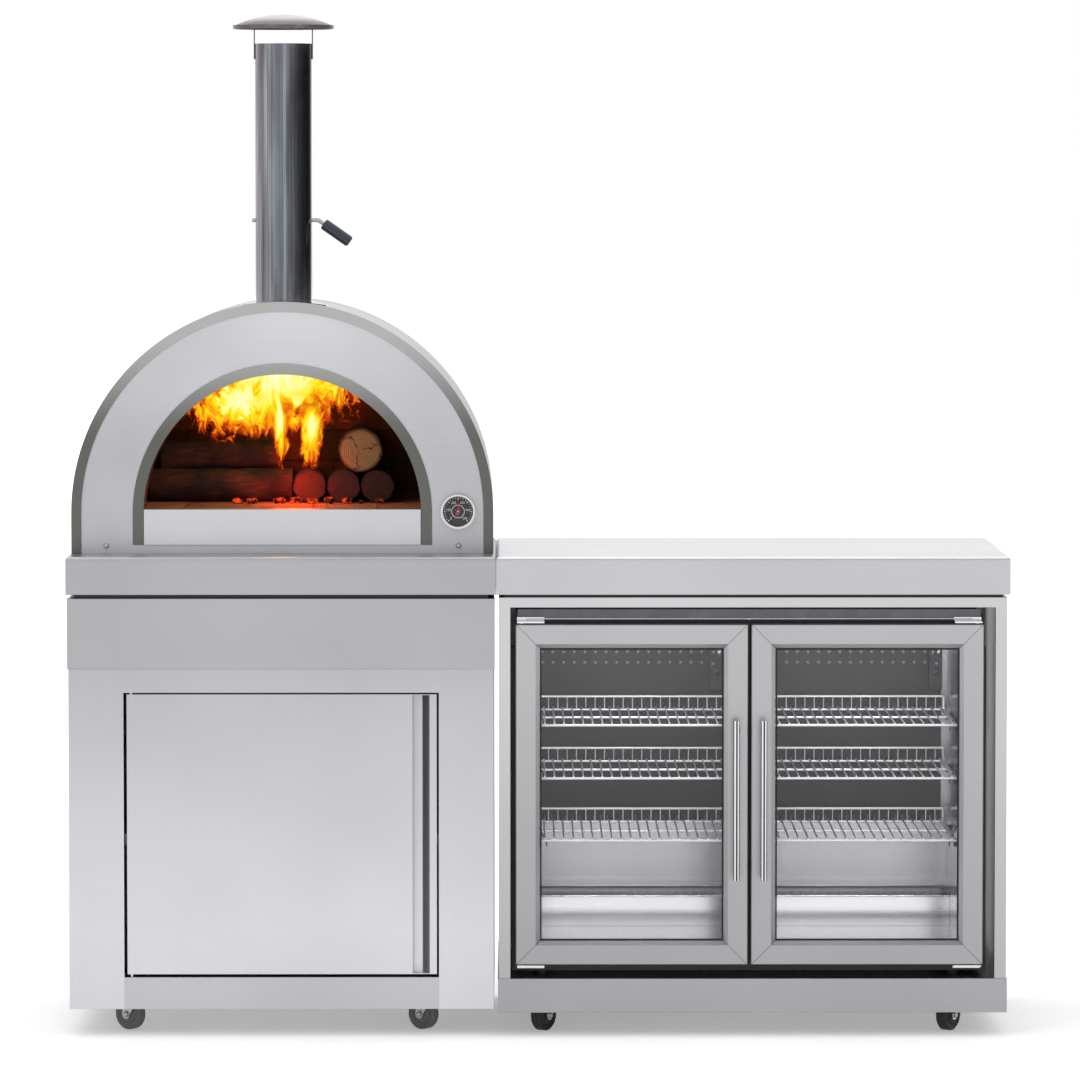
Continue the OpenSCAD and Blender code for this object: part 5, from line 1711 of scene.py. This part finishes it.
        # Painted shade: the gap's darkness is a black tray
        gap = tray(low, high, self.gap_rim, self.gap_hollow)
        self.pair(gap, "Air_gap_painted_shade", BLACK_PLASTIC)
        pitch = (x1 - x0) / self.fin_count
        x = x0 + pitch / 2
        low = (x - self.fin_half, y - self.fin_y[0], z - self.fin_z[0])
        high = (x + self.fin_half, y - self.fin_y[1], z - self.fin_z[1])
        fin = finish_piece(eased(low, high, Z, self.fin_r, 2), "Fin_1", FIN_PLASTIC, slot="grey_plastic")
        spread(fin, "Fin", [
            Matrix.Translation((room + place * pitch, 0, 0))
            for room in (0, self.shift) for place in range(self.fin_count)
        ])

    def outlet(self) -> None:
        """Sets the fan's outlet on the cover as three rows of round-ended black slots that stand for the
        painted shade in its openings.
        """
        y = self.cover_y - self.slot_out
        half = self.slot_half
        wide, high = self.slot_size
        for i in range(self.slot_count):
            row, column = divmod(i, 2)
            x = self.high[0] - self.slot_from[0] + column * self.slot_pitch[0]
            z = self.slot_from[1] - row * self.slot_pitch[1]
            # Painted shade: a black piece on the cover stands for the darkness in each opening
            slot = eased((x, y - half, z), (x + wide, y + half, z + high), Y, self.slot_r, 3)
            self.pair(slot, "Fan_slot_painted_shade", BLACK_PLASTIC, number=i + 1)

    def cover_screws(self) -> None:
        """Puts a domed black cap on each screw that holds the cover."""
        y = self.cover_y + self.screw_sunk
        z = self.cover_z + self.screw_rise
        for side, x in enumerate((self.low[0] + self.screw_in, self.high[0] - self.screw_in), 1):
            cap = domed((x, y, z), (x, y - self.screw_h, z), self.screw_r, 16, self.screw_dome, 3)
            self.pair(cap, "Cover_screw", BLACK_PLASTIC, number=side)

    def fences(self) -> None:
        """Stands the short wires of each shelf's back fence between its back wire and the rail over it."""
        count = int((self.high[0] - self.low[0] - 2 * self.fence_in) / self.fence_pitch)
        x = (self.low[0] + self.high[0]) / 2 - count * self.fence_pitch / 2
        for number, z in enumerate(self.levels, 1):
            wire = rod((x, self.fence_y, z), (x, self.fence_y, z + self.fence_h), self.fence_r, 6)
            with editing():
                pick("EDGE", runs(Z, 0.01))
                bpy.ops.mesh.subdivide(number_cuts=2)
                pick("VERT", lambda v: abs(v.co.z) < 0.006)
                bpy.ops.transform.translate(value=(0, self.fence_bow, 0))
            bpy.ops.object.transform_apply(location=False, rotation=True, scale=False)
            row = wire.modifiers.new("Row", "ARRAY")
            row.count = count + 1
            row.use_relative_offset = False
            row.use_constant_offset = True
            row.constant_offset_displace = (self.fence_pitch, 0, 0)
            bpy.ops.object.modifier_apply(modifier="Row")
            self.pair(wire, "Fence", WIRE_CHROME, "chromed_wire", number)

    def display(self) -> None:
        """Sets a glossy window and a round knob on the controller."""
        y = self.cover_y - self.display_out
        x = self.high[0] - self.side_gap - self.controller_half
        half = self.display_half
        pane = box((x - half, y - self.display_t, self.display_z[0]), (x + half, y, self.display_z[1]))
        with editing():
            pick("FACE", looks(Y, -1))
            bpy.ops.mesh.inset(thickness=self.display_rim)
            bpy.ops.transform.translate(value=(0, self.display_dish, 0))
        self.pair(pane, "Display", DISPLAY)
        end = (x, y - self.knob_h, self.knob_z)
        knob = domed((x, y, self.knob_z), end, self.knob_r, 24, self.knob_dome, 2)
        self.pair(knob, "Knob", BLACK_PLASTIC)

    def springs(self) -> None:
        """Sets a sprung wire on each side of each shelf, which crosses its own image in the wall."""
        sides = ((self.low[0] + self.spring_in, 1), (self.high[0] - self.spring_in, -1))
        y = self.low[1]
        behind, over = self.spring_from
        across, nearer, under = self.spring_to
        for number, (z, (x, lean)) in enumerate(((z, side) for z in self.levels for side in sides), 1):
            wire = rod((x, y + behind, z + over), (x + across * lean, y + nearer, z + under), self.spring_r)
            with editing():
                pick("EDGE", runs(Z, 0.02))
                bpy.ops.mesh.subdivide(number_cuts=4)
                pick("VERT", lambda v: abs(v.co.z) < 0.015)
                bpy.ops.transform.translate(value=(self.spring_bow * lean, 0, 0))
            self.pair(wire, "Spring", BLACK_PLASTIC, number=number)

    def lights(self) -> None:
        """Lights both compartments from a strip under the ceiling."""
        middle = (self.low[0] + self.high[0]) / 2
        for name, x in (("Room_light_left", middle), ("Room_light_right", middle + self.shift)):
            place = (x, self.low[1] + self.light_in[0], self.high[2] - self.light_in[1])
            target = (x, self.high[1], self.low[2])
            wide, deep = self.light_size
            lamp(name, "AREA", self.light_power, place, target, shape="RECTANGLE", size=wide, size_y=deep)

    def build(self) -> None:
        """Builds everything in both compartments."""
        self.liner()
        self.step()
        self.grille()
        self.outlet()
        self.cover_screws()
        self.fences()
        self.display()
        self.springs()
        self.lights()


@dataclass
class Fridge(Assembly):
    """Fridge case, its fittings and its two glass doors."""

    coats: Coats = (
        (BLACK_COAT, ("fridge_case",)), (GREY_PLASTIC, ("fan_covers",)), (WIRE_CHROME, ("wire_shelves",)),
        (BLACK_PLASTIC, ("shelf_clips",)), (CHROME, ("door_hinges",)),
        (DOOR_STEEL, ("left_door_frame", "right_door_frame")),
        (GLASS, ("left_door_glass", "right_door_glass")),
        (GASKET, ("left_door_gasket", "right_door_gasket")),
        (HANDLE_STEEL, ("left_door_handle", "right_door_handle")),
    )
    case: Span = (-0.043, 0.851)
    face_y: float = -0.235
    brow_z: Span = (0.7965, 0.8165)
    brow_in: float = 0.004  # from the case's sides
    brow_y: Span = (0.0025, 0.0002)  # its front and back, both before the case
    brow_rim: float = 0.0022
    brow_hollow: float = 0.0012
    edge_in: float = 0.02
    edge_y: Span = (0.005, 0.0024)
    edge_z: Span = (0.0008, 0.0032)  # its foot and top, both over the strip's foot
    edge_r: float = 0.0007
    seal_in: float = 0.0064  # from the pane's edge
    seal_w: float = 0.0032
    seal_y: Span = (0.0016, 0.0002)  # its front and back, both before the pane

    def brow(self) -> None:
        """Stands the strip painted dark as shade on the case's front over the doors, with the bright edge
        under it.
        """
        x0, x1 = self.case
        y = self.face_y
        z = self.brow_z[0]
        low = (x0 + self.brow_in, y - self.brow_y[0], z)
        high = (x1 - self.brow_in, y - self.brow_y[1], self.brow_z[1])
        strip = tray(low, high, self.brow_rim, self.brow_hollow)
        finish_piece(strip, "Brow_strip", BROW_STEEL, slot="panel_steel")
        low = (x0 + self.edge_in, y - self.edge_y[0], z + self.edge_z[0])
        high = (x1 - self.edge_in, y - self.edge_y[1], z + self.edge_z[1])
        finish_piece(eased(low, high, X, self.edge_r, 2), "Brow_edge", CHROME, slot="panel_steel")

    def seals(self) -> None:
        """Frames each pane with the dark band that seals it, just behind the steel's edge."""
        for side in ("left", "right"):
            (x0, y, z0), (x1, _, z1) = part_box(f"{side}_door_glass")
            gap = self.seal_in
            front, back = y - self.seal_y[0], y - self.seal_y[1]
            piece = box((x0 + gap, front, z0 + gap), (x1 - gap, back, z1 - gap))
            with editing():
                hollow(Y, self.seal_w)
            finish_piece(piece, f"Pane_seal_{side}", GASKET, body=f"{side}_fridge_door", slot="gasket_rubber")

    def build(self) -> None:
        """Gives the fridge's nodes their finishes and adds its small pieces."""
        super().build()
        self.brow()
        self.seals()
        Room().build()


@dataclass
class Screws:
    """Domed socket screws that hold the back of the oven and of its cabinet."""

    radius: float = 0.0055
    height: float = 0.0024
    dome: float = 0.0014
    socket: Span = (0.0018, 0.0012)  # its distance from the dome's edge, and its depth
    arch: Point = (-0.49025, 0.998, 0.37)  # the middle across and up, and the radius
    arch_turns: tuple[int, ...] = (20, 48, 76, 104, 132, 160)
    edge: float = 0.016  # from the panels' sides
    rows: tuple[float, ...] = (0.17, 0.38, 0.59, 0.8)

    def places(self) -> list[Matrix]:
        """Works out where the screws sit.

        Returns:
            For each screw what moves it from the origin to the sheet that it holds.
        """
        x, z, reach = self.arch
        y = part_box("oven_back")[1][1]
        turns = [math.radians(turn) for turn in self.arch_turns]
        made = [(x + reach * math.cos(turn), y, z + reach * math.sin(turn)) for turn in turns]
        low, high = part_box("oven_cabinet_panels")
        sides = (low[0] + self.edge, high[0] - self.edge)
        made += [(side, high[1], row) for side in sides for row in self.rows]
        return [Matrix.Translation(place) for place in made]

    def build(self) -> None:
        """Models one screw and copies it to every place."""
        screw = domed((0, 0, 0), (0, self.height, 0), self.radius, 16, self.dome, 3)
        with editing():
            pick("FACE", looks(Z, 1))
            sink(self.socket[0], (0, -self.socket[1], 0))
        finish_piece(screw, "Back_screw_1", ZINC, slot="zinc_steel")
        spread(screw, "Back_screw", self.places())


@dataclass
class Casters(Assembly):
    """Eight casters, with a domed nut on each end of every axle."""

    coats: Coats = (
        (ZINC, ("caster_plates", *names("caster_fork", range(1, 5)))),
        (GREY_TYRE, names("caster_wheel", range(1, 5))),
        (CHROME, names("caster_fork", range(5, 9))), (BLACK_TYRE, names("caster_wheel", range(5, 9))),
    )
    radius: float = 0.03
    trail: float = 0.016  # from the swivel's middle to the axle
    half: float = 0.0149  # from the wheel's middle to the foot of a nut
    oven: Point = (-0.773, -0.2075, 145.0)  # two places across, and how far the forks are turned
    fridge: Point = (0.02, 0.8, 235.0)
    rows: Span = (-0.176, 0.204)
    nut_r: float = 0.0062
    nut_h: float = 0.0035
    dome_h: float = 0.0016

    def hubs(self) -> list[Matrix]:
        """Works out the place of every wheel.

        Returns:
            For each wheel what moves it from the origin, its axle along Y, to its place.
        """
        made = []
        for *across, turn in (self.oven, self.fridge):
            for y in self.rows:
                for x in across:
                    swivel = Matrix.Translation((x, y, 0)) @ Matrix.Rotation(math.radians(turn), 4, "Z")
                    made.append(swivel @ Matrix.Translation((self.trail, 0, self.radius)))
        return made

    def nuts(self) -> None:
        """Puts a domed nut on both ends of each axle."""
        nut = rod((0, 0, 0), (0, -self.nut_h, 0), self.nut_r, 6)
        with editing():
            pick("FACE", looks(Z, 1))
            sink(0.0012, (0, -self.dome_h, 0))
            bpy.ops.transform.resize(value=(0.6, 1, 0.6), center_override=(0, -self.nut_h - self.dome_h, 0))
        finish_piece(nut, "Axle_nut_1", ZINC, body="fork_1", slot="zinc_steel")
        out = Matrix.Translation((0, -self.half, 0))
        turns = (0, math.pi)
        moves = [hub @ Matrix.Rotation(turn, 4, "Z") @ out for hub in self.hubs() for turn in turns]
        spread(nut, "Axle_nut", moves, [fork for fork in names("fork", range(1, 9)) for _ in turns])

    def build(self) -> None:
        """Gives plates, forks and wheels their finishes and adds the nuts."""
        super().build()
        self.nuts()


def main() -> None:
    """Builds the studio and the kitchen."""
    logging.basicConfig(level=logging.INFO, format="%(message)s")
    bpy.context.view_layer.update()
    for part in (Studio(), Bench(), Oven(), Fire(), Thermometer(), Flue(), Fridge(), Screws(), Casters()):
        part.build()
    fresh()


if __name__ == "__main__":
    main()
